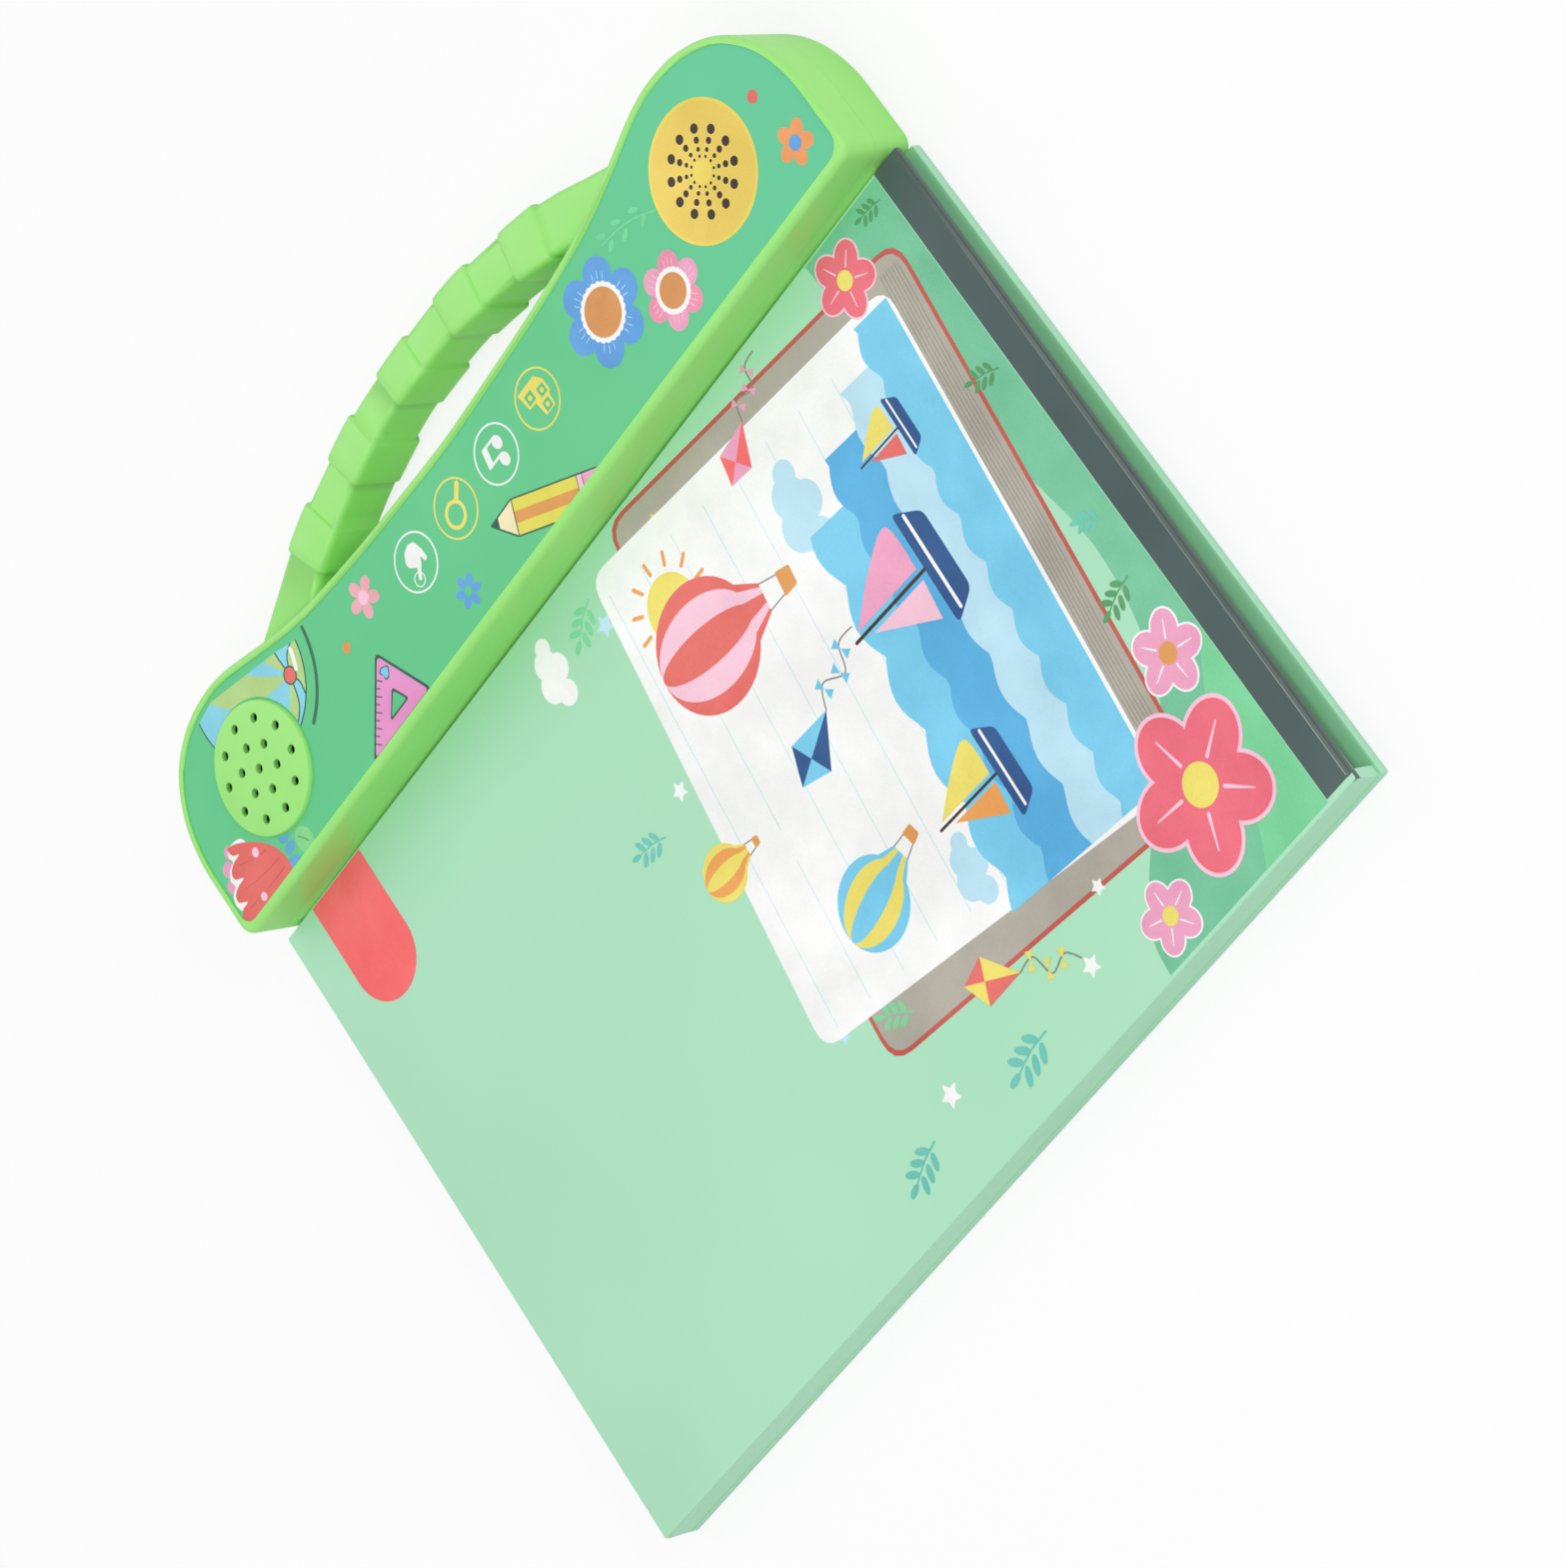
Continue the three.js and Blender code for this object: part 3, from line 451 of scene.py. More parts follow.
def curve(points, steps=8, closed=False):
    """Smooth curve through points."""
    count = len(points)
    result = []
    spans = count if closed else count - 1
    for i in range(spans):
        p = [points[(i + k) % count] if closed else points[min(max(i + k, 0), count - 1)] for k in (-1, 0, 1, 2)]
        for step in range(steps):
            t = step / steps
            pair = []
            for axis in (0, 1):
                a, b, c, d = (q[axis] for q in p)
                square, cube = 2 * a - 5 * b + 4 * c - d, 3 * b - a - 3 * c + d
                pair.append(0.5 * (2 * b + (c - a) * t + square * t**2 + cube * t**3))
            result.append(tuple(pair))
    if not closed:
        result.append(points[-1])
    return result


def stroke(points, width, end_width=None):
    """Line with round ends along points."""
    end_width = width if end_width is None else end_width
    left, right, ends = [], [], []
    last = len(points) - 1
    for i, (x, y) in enumerate(points):
        a, b = points[max(i - 1, 0)], points[min(i + 1, last)]
        dx, dy = b[0] - a[0], b[1] - a[1]
        size = math.hypot(dx, dy) or 1
        half = (width + (end_width - width) * i / last) / 2
        nx, ny = -dy / size * half, dx / size * half
        left.append((x + nx, y + ny))
        right.append((x - nx, y - ny))
        ends.append((math.atan2(dy, dx), half))

    def cap(point, angle, half):
        turns = [angle - a for a in (-1.05, -0.52, 0, 0.52, 1.05)]
        return [(point[0] + half * math.cos(a), point[1] + half * math.sin(a)) for a in turns]

    start_angle, start_half = ends[0]
    return left + cap(points[-1], *ends[-1]) + right[::-1] + cap(points[0], start_angle + math.pi, start_half)


def turned(points, angle, x, y, size=1.0):
    c, s = math.cos(math.radians(angle)) * size, math.sin(math.radians(angle)) * size
    return [(x + u * c - v * s, y + u * s + v * c) for u, v in points]


def rounded(points, radius, steps=4):
    """Polygon with round corners."""
    result = []
    count = len(points)
    for i in range(count):
        a, p, b = Vector(points[i - 1]), Vector(points[i]), Vector(points[(i + 1) % count])
        reach = min(radius, (a - p).length / 2, (b - p).length / 2)
        start, end = p + (a - p).normalized() * reach, p + (b - p).normalized() * reach
        for k in range(steps + 1):
            t = k / steps
            q = start * (1 - t) ** 2 + p * 2 * t * (1 - t) + end * t**2
            result.append((q.x, q.y))
    return result


def cut(points, a, b):
    """The part of a polygon to the left of the line from a to b."""

    def side(p):
        return (b[0] - a[0]) * (p[1] - a[1]) - (b[1] - a[1]) * (p[0] - a[0])

    result = []
    for i, p in enumerate(points):
        q = points[(i + 1) % len(points)]
        if side(p) >= 0:
            result.append(p)
        if (side(p) < 0) != (side(q) < 0):
            t = side(p) / (side(p) - side(q))
            result.append((p[0] + (q[0] - p[0]) * t, p[1] + (q[1] - p[1]) * t))
    return result


def outside_disc(points, centre, radius):
    """The part of a polygon outside a disc whose edge crosses it twice."""

    def depth(p):
        return radius - math.hypot(p[0] - centre[0], p[1] - centre[1])

    def crossing(p, q):
        t = depth(p) / (depth(p) - depth(q))
        return (p[0] + (q[0] - p[0]) * t, p[1] + (q[1] - p[1]) * t)

    def direction(p):
        return math.atan2(p[1] - centre[1], p[0] - centre[0])

    count = len(points)
    entries = [i for i in range(count) if depth(points[i]) <= 0 < depth(points[(i + 1) % count])]
    if not entries:
        return points
    kept = []
    i = entries[0]
    while depth(points[i]) <= 0:
        kept.insert(0, points[i])
        i = (i - 1) % count
    a = direction(crossing(points[entries[0]], points[(entries[0] + 1) % count]))
    b = direction(crossing(points[i], kept[0]))
    inside = [p for p in points if depth(p) > 0]
    mean = [sum(p[axis] for p in inside) / len(inside) - centre[axis] for axis in (0, 1)]
    sweep = (b - a) % (2 * math.pi)
    middle = a + sweep / 2
    if math.cos(middle) * mean[0] + math.sin(middle) * mean[1] < 0:
        sweep -= 2 * math.pi
    return kept + [polar(*centre, radius, math.degrees(a + sweep * k / 16)) for k in range(17)]


def star(x, y, long, short, points, turn):
    return [polar(x, y, short if i % 2 else long, turn + 180 * i / points) for i in range(points * 2)]


class Print:
    """Thin flat shapes of ink, the later ones on top."""

    def __init__(self, height):
        self.height = height
        self.shapes = []

    def add(self, colour, outline, layer=1, holes=()):
        self.shapes.append((colour, outline, list(holes), layer))

    def ring(self, colour, x, y, radius, width, count):
        self.add(colour, circle(x, y, radius + width / 2, count), holes=[circle(x, y, radius - width / 2, count)])

    def build(self, name):
        vertices, faces, indices = [], [], []
        names = list(dict.fromkeys(shape[0] for shape in self.shapes))
        for number, (colour, outline, holes, layer) in enumerate(self.shapes):
            index = names.index(colour)
            loops = []
            for k, loop in enumerate([outline, *holes]):
                area = sum(a[0] * b[1] - b[0] * a[1] for a, b in zip(loop, loop[1:] + loop[:1]))
                if (area < 0) == (k == 0):
                    loop = loop[::-1]
                loops.append(loop)
            flat = [p for loop in loops for p in loop]
            start = first = len(vertices)
            count = len(flat)
            own = INK_OWN * (number % 25)
            for lift in (-INK_ROOT - own, INK_LIFT + INK_LAYER * layer + own):
                vertices.extend(spot(x, y, self.height(x) + lift) for x, y in flat)
            for a, b, c in tessellate_polygon([[Vector((x, y, 0)) for x, y in loop] for loop in loops]):
                (ax, ay), (bx, by), (cx, cy) = flat[a], flat[b], flat[c]
                if (bx - ax) * (cy - ay) - (by - ay) * (cx - ax) < 0:
                    b, c = c, b
                faces.append((first + count + a, first + count + b, first + count + c))
                faces.append((first + a, first + c, first + b))
                indices += [index, index]
            for loop in loops:
                size = len(loop)
                for i in range(size):
                    a, b = start + i, start + (i + 1) % size
                    faces.append((a, b, b + count, a + count))
                    indices.append(index)
                start += size
        return new_object(name, vertices, faces, [ink_of(n) for n in names], indices)


# Printed film

film = Print(lambda x: FILM_TOP)

# right end of the film at the head, for motifs that it cuts off
FILM_EDGE = [
    (197.2, 178.0), (199.4, 187.0), (202.4, 196.0), (204.4, 204.0), (205.0, 210.0), (204.0, 217.0), (201.4, 223.0)
]


def right_part(points):
    """The part of a polygon to the right of the film's straight edge."""
    return cut(points, (FILM_LEFT, 1), (FILM_LEFT, 0))


def on_film(points):
    """The part of a polygon on the film: right of its straight edge, left of its curved edge, clear of the grille."""
    points = right_part(points)
    for a, b in zip(FILM_EDGE, FILM_EDGE[1:]):
        points = cut(points, a, b)
    return outside_disc(points, GRILLE, GRILLE_CLEAR)


# tulip at the head, cut off by the film's straight edge
for x, y, r in ((172.6, 233.9, 1.6), (176.0, 232.2, 1.8), (178.5, 229.5, 1.5)):
    film.add("petal_pink", circle(x, y, r))
lace = [
    (166.6, 234.4), (168.6, 235.9), (170.9, 235.2), (172.0, 233.2), (173.9, 233.4), (175.6, 231.9), (176.3, 229.9),
    (177.9, 230.2), (179.3, 228.7), (178.0, 224.0), (172.0, 224.0), (167.0, 228.0),
]
cup = [
    (160, 218), (162.4, 216.6), (166, 216.0), (170.5, 217.4), (174.9, 221.2), (178.2, 225.8), (179.4, 229.0),
    (178.2, 229.3), (177.0, 228.6), (176.2, 227.2), (175.9, 230.0), (174.7, 232.0), (173.1, 232.0), (171.7, 229.8),
    (171.4, 232.6), (170.4, 234.6), (168.8, 234.7), (167.3, 232.6), (167.0, 234.8), (165.8, 236.2), (163.4, 236.4),
    (160, 235),
]
film.add("white", curve(lace, closed=True), 2)
film.add("coral", right_part(curve(cup, closed=True)), 3)
for a, b in (((167.6, 218), (169.6, 231)), ((171.5, 220), (174.6, 229.0)), ((165.2, 218), (165.8, 233))):
    film.add("line_red", stroke(curve([a, ((a[0] + b[0]) / 2 - 0.3, (a[1] + b[1]) / 2), b]), 0.22, 0.12), 4)
film.add("pale_pink", circle(173.2, 222.8, 1.1, 20), 4)
film.add("pale_pink", right_part(circle(164.8, 227.6, 1.0, 20)), 4)
for x, y, turn in ((164.3, 214.6, 80), (167.1, 213.6, 95), (169.8, 213.6, 70)):
    film.add("sepal_blue", right_part(outside_disc(ellipse(x, y, 1.9, 1.15, turn, 20), GRILLE, GRILLE_CLEAR)))
film.add("leaf_pale", right_part(ellipse(165.4, 208.8, 3.2, 2.7, 15)))
film.add("leaf_green", stroke(curve([(164.4, 208.0), (165.8, 208.8), (167.2, 210.0)]), 0.28), 2)

# striped ball behind the grille, cut off by the film's curved edge
BALL = (200.6, 198.0)
BALL_R = 18.6
BALL_INSIDE = BALL_R - 0.35
POLE = (192.8, 186.6)


def ball_rim(angle, radius=BALL_INSIDE):
    return polar(*BALL, radius, angle)


def ball_side(angle):
    rim = ball_rim(angle)
    bend = ((POLE[0] + rim[0]) / 2 - (rim[1] - POLE[1]) * 0.16, (POLE[1] + rim[1]) / 2 + (rim[0] - POLE[0]) * 0.16)
    return curve([POLE, bend, rim], 10)


def ball_part(first, last):
    rim = [ball_rim(first + (last - first) * k / 16) for k in range(17)]
    return ball_side(first) + rim[1:-1] + ball_side(last)[::-1][:-1]


film.add("outline", on_film(circle(*BALL, BALL_R, 96)))
film.add("ball_blue", on_film(circle(*BALL, BALL_INSIDE, 96)), 2)
for first, last in ((222, 262), (150, 190), (294, 334), (10, 60)):
    film.add("ball_green", on_film(ball_part(first, last)), 3)
for angle in (222, 262, 190, 294):
    film.add("outline", on_film(stroke(ball_side(angle), 0.36)), 4)
film.add("outline", circle(*POLE, 2.1, 32), 5)
film.add("coral", circle(*POLE, 1.75, 32), 6)
for angles in ((240, 248, 256), (262, 264, 266)):
    film.add("white", on_film(stroke(curve([ball_rim(a, BALL_R - 2.6) for a in angles]), 1.1)), 6)
leaf_line = [ball_rim(a, BALL_R + 3.2) for a in (206, 216, 226, 236, 246, 256, 262)]
film.add("deep_green", stroke(curve(leaf_line), 0.95))

# pink set square with marks along its long side
film.add("outline", right_part(rounded([(163.0, 180.6), (179.3, 163.4), (163.0, 155.9)], 1.6)))
film.add("shape_pink", right_part(rounded([(163.4, 179.4), (178.3, 163.6), (163.4, 156.8)], 1.3)), 2)
film.add("outline", rounded([(165.9, 170.4), (170.9, 164.9), (165.9, 162.5)], 1.0), 3)
film.add("film_green", rounded([(166.3, 169.5), (170.1, 165.1), (166.3, 163.2)], 0.8), 4)
for i in range(9):
    x, y = 165.4 + i * 1.16, 177.1 - i * 1.23
    size = 1.5 if i % 2 == 0 else 0.9
    film.add("outline", stroke([(x, y), (x - 0.73 * size, y - 0.68 * size)], 0.28), 3)
heart = [(0, -1.8), (1.7, 0.1), (1.5, 1.5), (0.4, 1.5), (0, 0.9), (-0.4, 1.5), (-1.5, 1.5), (-1.7, 0.1)]
for colour, size, layer in (("outline", 0.84, 3), ("sky_blue", 0.66, 4)):
    film.add(colour, turned(curve(heart, closed=True), 14, 174.4, 164.0, size), layer)

# yellow pencil lying aslant, cut off by the film's straight edge
for colour, outline, layer in (
    ("outline", rounded([(-16, -4.1), (10.0, -4.1), (17.4, 0), (10.0, 4.1), (-16, 4.1)], 0.8), 1),
    ("pencil_yellow", [(-9.6, -3.75), (9.6, -3.75), (9.6, 3.75), (-9.6, 3.75)], 2),
    ("petal_pink", [(-16, -3.75), (-11.4, -3.75), (-11.4, 3.75), (-16, 3.75)], 2),
    ("pale_pink", [(-11.2, -3.75), (-9.8, -3.75), (-9.8, 3.75), (-11.2, 3.75)], 2),
    ("cream", [(9.9, -3.7), (14.6, -1.1), (14.6, 1.1), (9.9, 3.7)], 2),
    ("gold", [(-9.6, -1.25), (9.6, -1.25), (9.6, 1.25), (-9.6, 1.25)], 3),
):
    film.add(colour, right_part(turned(outline, 63, 167.2, 103.4)), layer)


# four round marks over the keys
def at_key(number, *points):
    return [(KEY_X + u, KEY_Y[number] + v) for u, v in points]


for colour, y in zip(("white", "yellow", "white", "yellow"), KEY_Y):
    film.ring(colour, KEY_X, y, 6.35, 0.42, 56)
hand = [
    (-3.9, 1.3), (-3.3, 2.0), (-1.1, 0.5), (0.4, 2.5), (1.7, 2.6), (3.5, 1.4), (4.2, -0.6), (3.6, -2.4),
    (1.0, -3.2), (-1.5, -3.3), (-1.7, -2.3), (0.2, -1.9), (-1.2, -1.1), (-2.0, -0.1),
]
film.add("white", at_key(0, *rounded(hand, 0.5)), 2)
film.ring("white", KEY_X - 3.3, KEY_Y[0] + 1.7, 1.55, 0.26, 32)
film.ring("yellow", KEY_X - 0.9, KEY_Y[1] + 0.9, 2.75, 0.85, 40)
film.add("yellow", stroke(at_key(1, (1.1, -1.3), (3.5, -3.9)), 1.25), 2)
for u, v in ((-2.3, -1.2), (1.6, -1.9)):
    film.add("white", ellipse(KEY_X + u, KEY_Y[2] + v, 1.7, 1.35, 15, 28), 2)
for u, low, high in ((-0.95, -1.0, 3.4), (2.95, -1.7, 2.5)):
    film.add("white", stroke(at_key(2, (u, low), (u, high)), 0.6), 2)
film.add("white", rounded(at_key(2, (-1.25, 3.8), (3.25, 2.8), (3.25, 1.1), (-1.25, 2.1)), 0.3), 2)
stack = [
    (-4.2, -3.0), (-1.2, -3.4), (-1.2, -4.0), (2.0, -4.0), (4.1, -2.4), (4.1, 3.9), (-0.2, 3.2), (-0.4, 0.9),
    (-4.2, 0.4),
]
film.add("yellow", at_key(3, *stack), 2)
for u, v, half in ((-2.75, -1.45, 1.15), (0.4, -2.25, 1.15), (1.45, 1.45, 1.25)):
    corners = at_key(3, *((u + a * half, v + b * half) for a, b in ((-1, -1), (1, -1), (1, 1), (-1, 1))))
    film.add("film_green", rounded(corners, 0.2), 3)
    film.add("yellow", circle(KEY_X + u, KEY_Y[3] + v, half * 0.5, 16), 4)

# small dots, the sprig and the yellow disc
film.add("gold", circle(185.6, 169.2, 1.25, 24))
film.add("coral", circle(186.1, 4.1, 1.4, 24))
film.add("sprig_faint", stroke(curve([(188.4, 38.6), (191.2, 43.6), (192.9, 49.0), (193.7, 54.4)]), 0.35))
for i, (x, y) in enumerate(((189.4, 42.6), (192.8, 43.2), (190.8, 48.2), (194.4, 48.4), (191.9, 52.6), (195.2, 53.4))):
    film.add("sprig_faint", ellipse(x, y, 1.4, 0.6, 60 if i % 2 else 120, 16))
for colour, r, count, layer in (("disc_rim", 14.7, 72, 1), ("disc_yellow", 14.0, 72, 2), ("disc_rim", 2.5, 32, 3)):
    film.add(colour, circle(*DISC, r, count), layer)
film_print = film.build("film_print")
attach(film_print, "book")


# Printed front cover: a generic seaside picture at the foot, and a plain red tab at the head

cover = Print(lambda x: COVER_TOP - COVER_FALL * (x - SPINE_X))
# the band's outer edge turns over; painted light: the turn is drawn a lighter grey than the dark band, with a painted
# highlight hairline along it
cover.add("band_edge", [(0.8, -7.35), (160.2, -7.35), (160.2, -6.5), (0.8, -6.5)])
cover.add("scuff", [(1.4, -6.52), (137, -6.44), (137, -6.4), (1.4, -6.34)], 2)

tab = [(FORE_X - 0.45, 208.2), (FORE_X - 0.45, 229.0)] + [polar(139.6, 218.6, 10.4, a) for a in range(90, 271, 10)]
cover.add("tab_red", tab)

# darker green hills round the sheet
hill = [
    (160.2, 26), (150, 24), (138, 14), (120, 9), (96, 12), (70, 9), (46, 14), (30, 26), (20, 40), (9, 50), (0.4, 52)
]
cover.add("mid_green", [(0.4, 0.3), (160.2, 0.3)] + curve(hill))
cover.add("sprig_green", [(0.4, 0.3)] + curve([(44, 0.3), (34, 8), (22, 14), (10, 15), (0.4, 20)]), 2)


def print_at(*place):
    """A function that prints on the cover at this turn, x, y and size."""
    return lambda colour, outline, layer: cover.add(colour, turned(outline, *place), layer)


# sheet of drawing paper with its wooden board
on_sheet = print_at(-7, 92, 72)
on_sheet("line_red", rounded([(-66, -60), (64, -60), (64, 40), (-66, 40)], 6), 2)
on_sheet("wood_grey", rounded([(-65, -59), (63, -59), (63, 39), (-65, 39)], 5.4), 3)
for i in range(7):
    y = -57.6 + i * 0.9
    grain = [(-62, y), (-30, y + 0.4), (0, y - 0.2), (30, y + 0.3), (60, y)]
    on_sheet("wood_dark", stroke(curve(grain), 0.18), 4)
on_sheet("white", rounded([(-60, -52), (58, -52), (58, 50), (-54, 54)], 5), 5)
for i in range(9):
    y = -44 + i * 11
    on_sheet("pale_blue", stroke([(-52, y + 4), (52, y + 3.4)], 0.16), 6)


def waves(low, crest, pitch, depth, left, right):
    top = []
    steps = int((right - left) / (pitch / 8))
    for i in range(steps + 1):
        x = left + (right - left) * i / steps
        top.append((x, crest + depth * abs(math.sin(math.pi * x / pitch))))
    return [(left, low), (right, low)] + top[::-1]


on_sheet("sky_blue", waves(-46, -8, 17, 3.2, -58, 30), 7)
on_sheet("sea_blue", waves(-48, -19, 13, 2.6, -58, 40), 8)
on_sheet("pale_blue", waves(-50, -31, 15, 2.4, -58, 48), 9)
on_sheet("sky_blue", waves(-51, -41, 11, 2.2, -58, 56), 10)


def boat(x, y, size, sail, flag):
    for colour, outline, layer in (
        ("navy", rounded([(-8, 0), (8, 0), (5.4, -4.2), (-5.8, -4.2)], 1.0), 11),
        ("white", stroke([(-6.6, -1.5), (6.6, -1.5)], 0.5), 12),
        ("dark", stroke([(0, 0), (0, 14)], 0.45), 11),
        (sail, curve([(0.8, 1), (7.4, 1.6), (5.2, 7), (0.8, 13)]) + [(0.8, 1)], 11),
        (flag, [(-0.8, 1), (-6, 1.6), (-0.8, 11)], 11),
    ):
        on_sheet(colour, turned(outline, 4, x, y, size), layer)


boat(-34, -18, 1.35, "yellow", "orange")
boat(8, -27, 1.7, "petal_pink", "pale_pink")
boat(34, -38, 0.9, "yellow", "coral")


def balloon(x, y, r, colours, turn):
    """Striped hot-air balloon with its basket."""

    part = print_at(turn, x, y)
    for k, (width, steps) in enumerate(((1, 40), (0.72, 38), (0.3, 38))):
        arc = [polar(0, 0, r, -62 + 304 * i / steps) for i in range(steps + 1)]
        mouth = [(-0.24 * width * r, -1.36 * r), (0.24 * width * r, -1.36 * r)]
        part(colours[k], [(u * width, v * 1.06) for u, v in arc] + mouth, 7 + k)
    for side in (-1, 1):
        part("wood_dark", stroke([(side * 0.22 * r, -1.36 * r), (side * 0.16 * r, -1.72 * r)], 0.3), 7)
    basket = [(-0.2 * r, -1.72 * r), (0.2 * r, -1.72 * r), (0.16 * r, -2.02 * r), (-0.16 * r, -2.02 * r)]
    part("gold", rounded(basket, 0.5), 8)


balloon(124, 99, 14, ("coral", "pale_pink", "coral"), -10)
balloon(58, 101, 9.5, ("sky_blue", "yellow", "sky_blue"), 12)
balloon(88, 128, 6.0, ("yellow", "orange", "yellow"), -4)


def kite(x, y, size, turn, first, second):
    part = print_at(turn, x, y, size)
    part(first, [(0, 7), (5, 1.4), (0, -8), (-5, 1.4)], 7)
    part(second, [(0, 7), (5, 1.4), (0, 1.4)], 8)
    part(second, [(0, -8), (-5, 1.4), (0, 1.4)], 8)
    part("wood_dark", stroke(curve([(0, -8), (2.4, -12), (-1.6, -16), (1.6, -20), (0, -24)]), 0.3), 7)
    for u, v in ((1.7, -11.2), (-0.6, -15.4), (0.8, -19.4)):
        for side in (-1, 1):
            part(first, [(u, v), (u + side * 2.0, v + 1.0), (u + side * 2.0, v - 1.0)], 8)


kite(90, 92, 1.15, 24, "sky_blue", "navy")
kite(28, 88, 1.0, -28, "yellow", "coral")
kite(146, 66, 0.9, 34, "petal_pink", "tab_red")

SUN = (40, 34)
on_sheet("yellow", circle(*SUN, 7.4, 48), 7)
for i in range(12):
    on_sheet("orange", stroke([polar(*SUN, r, 30 * i + 8) for r in (9, 11.6)], 0.9), 7)

for x, y, size, colour in (
    (18, 112, 3.0, "white"), (44, 126, 2.2, "pale_blue"), (108, 126, 2.4, "white"), (146, 118, 2.8, "pale_blue"),
    (14, 66, 2.6, "white"), (152, 92, 2.0, "yellow"), (70, 120, 1.8, "yellow"), (24, 54, 2.0, "white"),
):
    cover.add(colour, rounded(star(x, y, size, size * 0.48, 5, 80), 0.4), 3)


def sprig(x, y, size, turn, leaf):
    """Stem with leaves in pairs and one at the tip."""
    part = print_at(turn, x, y, size)
    part(leaf, stroke(curve([(0, 0), (0.5, 5), (0, 10.4)]), 0.5, 0.3), 4)
    for v in (2.2, 5.0, 7.8):
        for side in (-1, 1):
            part(leaf, ellipse(side * 1.9, v + 1.3, 2.0, 0.85, 90 - side * 52, 20), 4)
    part(leaf, ellipse(0, 11.8, 1.8, 0.8, 90, 20), 4)


for place in (
    (14, 122, 1.0, 20, "teal"), (36, 108, 0.8, -30, "sprig_green"), (12, 84, 1.1, 10, "teal"),
    (153, 118, 0.9, 30, "sprig_green"), (104, 136, 0.8, -12, "teal"),
    (62, 7, 0.8, 14, "leaf_green"), (112, 3, 0.7, -20, "leaf_green"), (74, 4, 0.6, -34, "teal"),
    (156, 2.4, 0.6, -8, "leaf_green"),
):
    sprig(*place)


def cloud(x, y, size, colour, layer):
    for u, v, r in ((-6, 0, 3.6), (-1.6, 2.6, 4.8), (4.2, 1.2, 4.2), (8, -0.8, 2.8), (1, -1.6, 4.0)):
        cover.add(colour, circle(x + u * size, y + v * size, r * size, 36), layer)


cloud(126, 60, 1.1, "pale_blue", 6)
cloud(46, 76, 0.8, "pale_blue", 6)
cloud(80, 112, 0.9, "white", 6)
cloud(148, 136, 0.8, "white", 3)


def blossom(x, y, size, turn, petal, rim, heart):
    """Broad five-petalled flower seen from above."""
    for k in range(5):
        a = turn + 72 * k
        u, v = polar(x, y, 5.6 * size, a)
        cover.add(rim, ellipse(u, v, 5.0 * size, 4.3 * size, a), 11)
        cover.add(petal, ellipse(u, v, 4.5 * size, 3.8 * size, a), 12)
        cover.add(rim, stroke([polar(x, y, d * size, a) for d in (3.4, 7.6)], 0.5 * size, 0.2 * size), 13)
    cover.add(heart, circle(x, y, 2.6 * size, 32), 14)


blossom(22, 21, 1.7, 12, "shape_red", "pale_pink", "yellow")
blossom(45, 9.6, 0.85, 40, "petal_pink", "white", "gold")
blossom(8.6, 44, 0.75, 0, "petal_pink", "white", "yellow")
blossom(151, 20, 0.8, 25, "shape_red", "pale_pink", "yellow")

cover_print = cover.build("cover_picture")
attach(cover_print, "front_cover")


# Geometry node trees


class Tree(Nodes):
    """A geometry tree with named inputs."""

    def __init__(self, name):
        super().__init__(bpy.data.node_groups.new(name, "GeometryNodeTree"))
        self.tree.interface.new_socket(name="Geometry", in_out="OUTPUT", socket_type="NodeSocketGeometry")
        self.sockets = {}

    def inputs(self, *rows):
        for name, kind, value in rows:
            socket = self.tree.interface.new_socket(name=name, in_out="INPUT", socket_type="NodeSocket" + kind)
            if value is not None:
                socket.default_value = value
            self.sockets[name] = socket
        source = self.tree.nodes.new("NodeGroupInput")
        return [source.outputs[name] for name in self.sockets]

    def index(self):
        return self.node("GeometryNodeInputIndex").outputs[0]

    def vector(self, **axes):
        return self.node("ShaderNodeCombineXYZ", axes).outputs[0]

    def drum(self, vertices, radius=1.0, depth=1.0):
        sizes = {"Vertices": vertices, "Radius": radius, "Depth": depth}
        return self.node("GeometryNodeMeshCylinder", sizes).outputs["Mesh"]

    def moved(self, geometry, way, **inputs):
        return self.node("GeometryNodeTransform", {"Geometry": geometry, "Translation": way, **inputs}).outputs[0]

    def spread(self, shape, count, place, **inputs):
        """The shape on each of a row of points."""
        points = self.node("GeometryNodePoints", {"Count": count, "Position": place}).outputs[0]
        return self.node("GeometryNodeInstanceOnPoints", {"Points": points, "Instance": shape, **inputs}).outputs[0]

    def finish(self, geometry, material):
        real = self.node("GeometryNodeRealizeInstances", {"Geometry": geometry}).outputs["Geometry"]
        dressed = self.node("GeometryNodeSetMaterial", {"Geometry": real, "Material": material})
        self.node("NodeGroupOutput", {"Geometry": dressed.outputs["Geometry"]})
        return self

    def grow(self, name, values):
        """Runs the tree on an empty mesh with these inputs and keeps the plain result."""
        holder = placed(name + "_source", bpy.data.meshes.new(name + "_source"))
        modifier = holder.modifiers.new("made", "NODES")
        modifier.node_group = self.tree
        for key, value in values.items():
            modifier[self.sockets[key].identifier] = value
        graph = bpy.context.evaluated_depsgraph_get()
        mesh = bpy.data.meshes.new_from_object(holder.evaluated_get(graph))
        bpy.data.objects.remove(holder)
        mesh.name = name
        return placed(name, mesh)


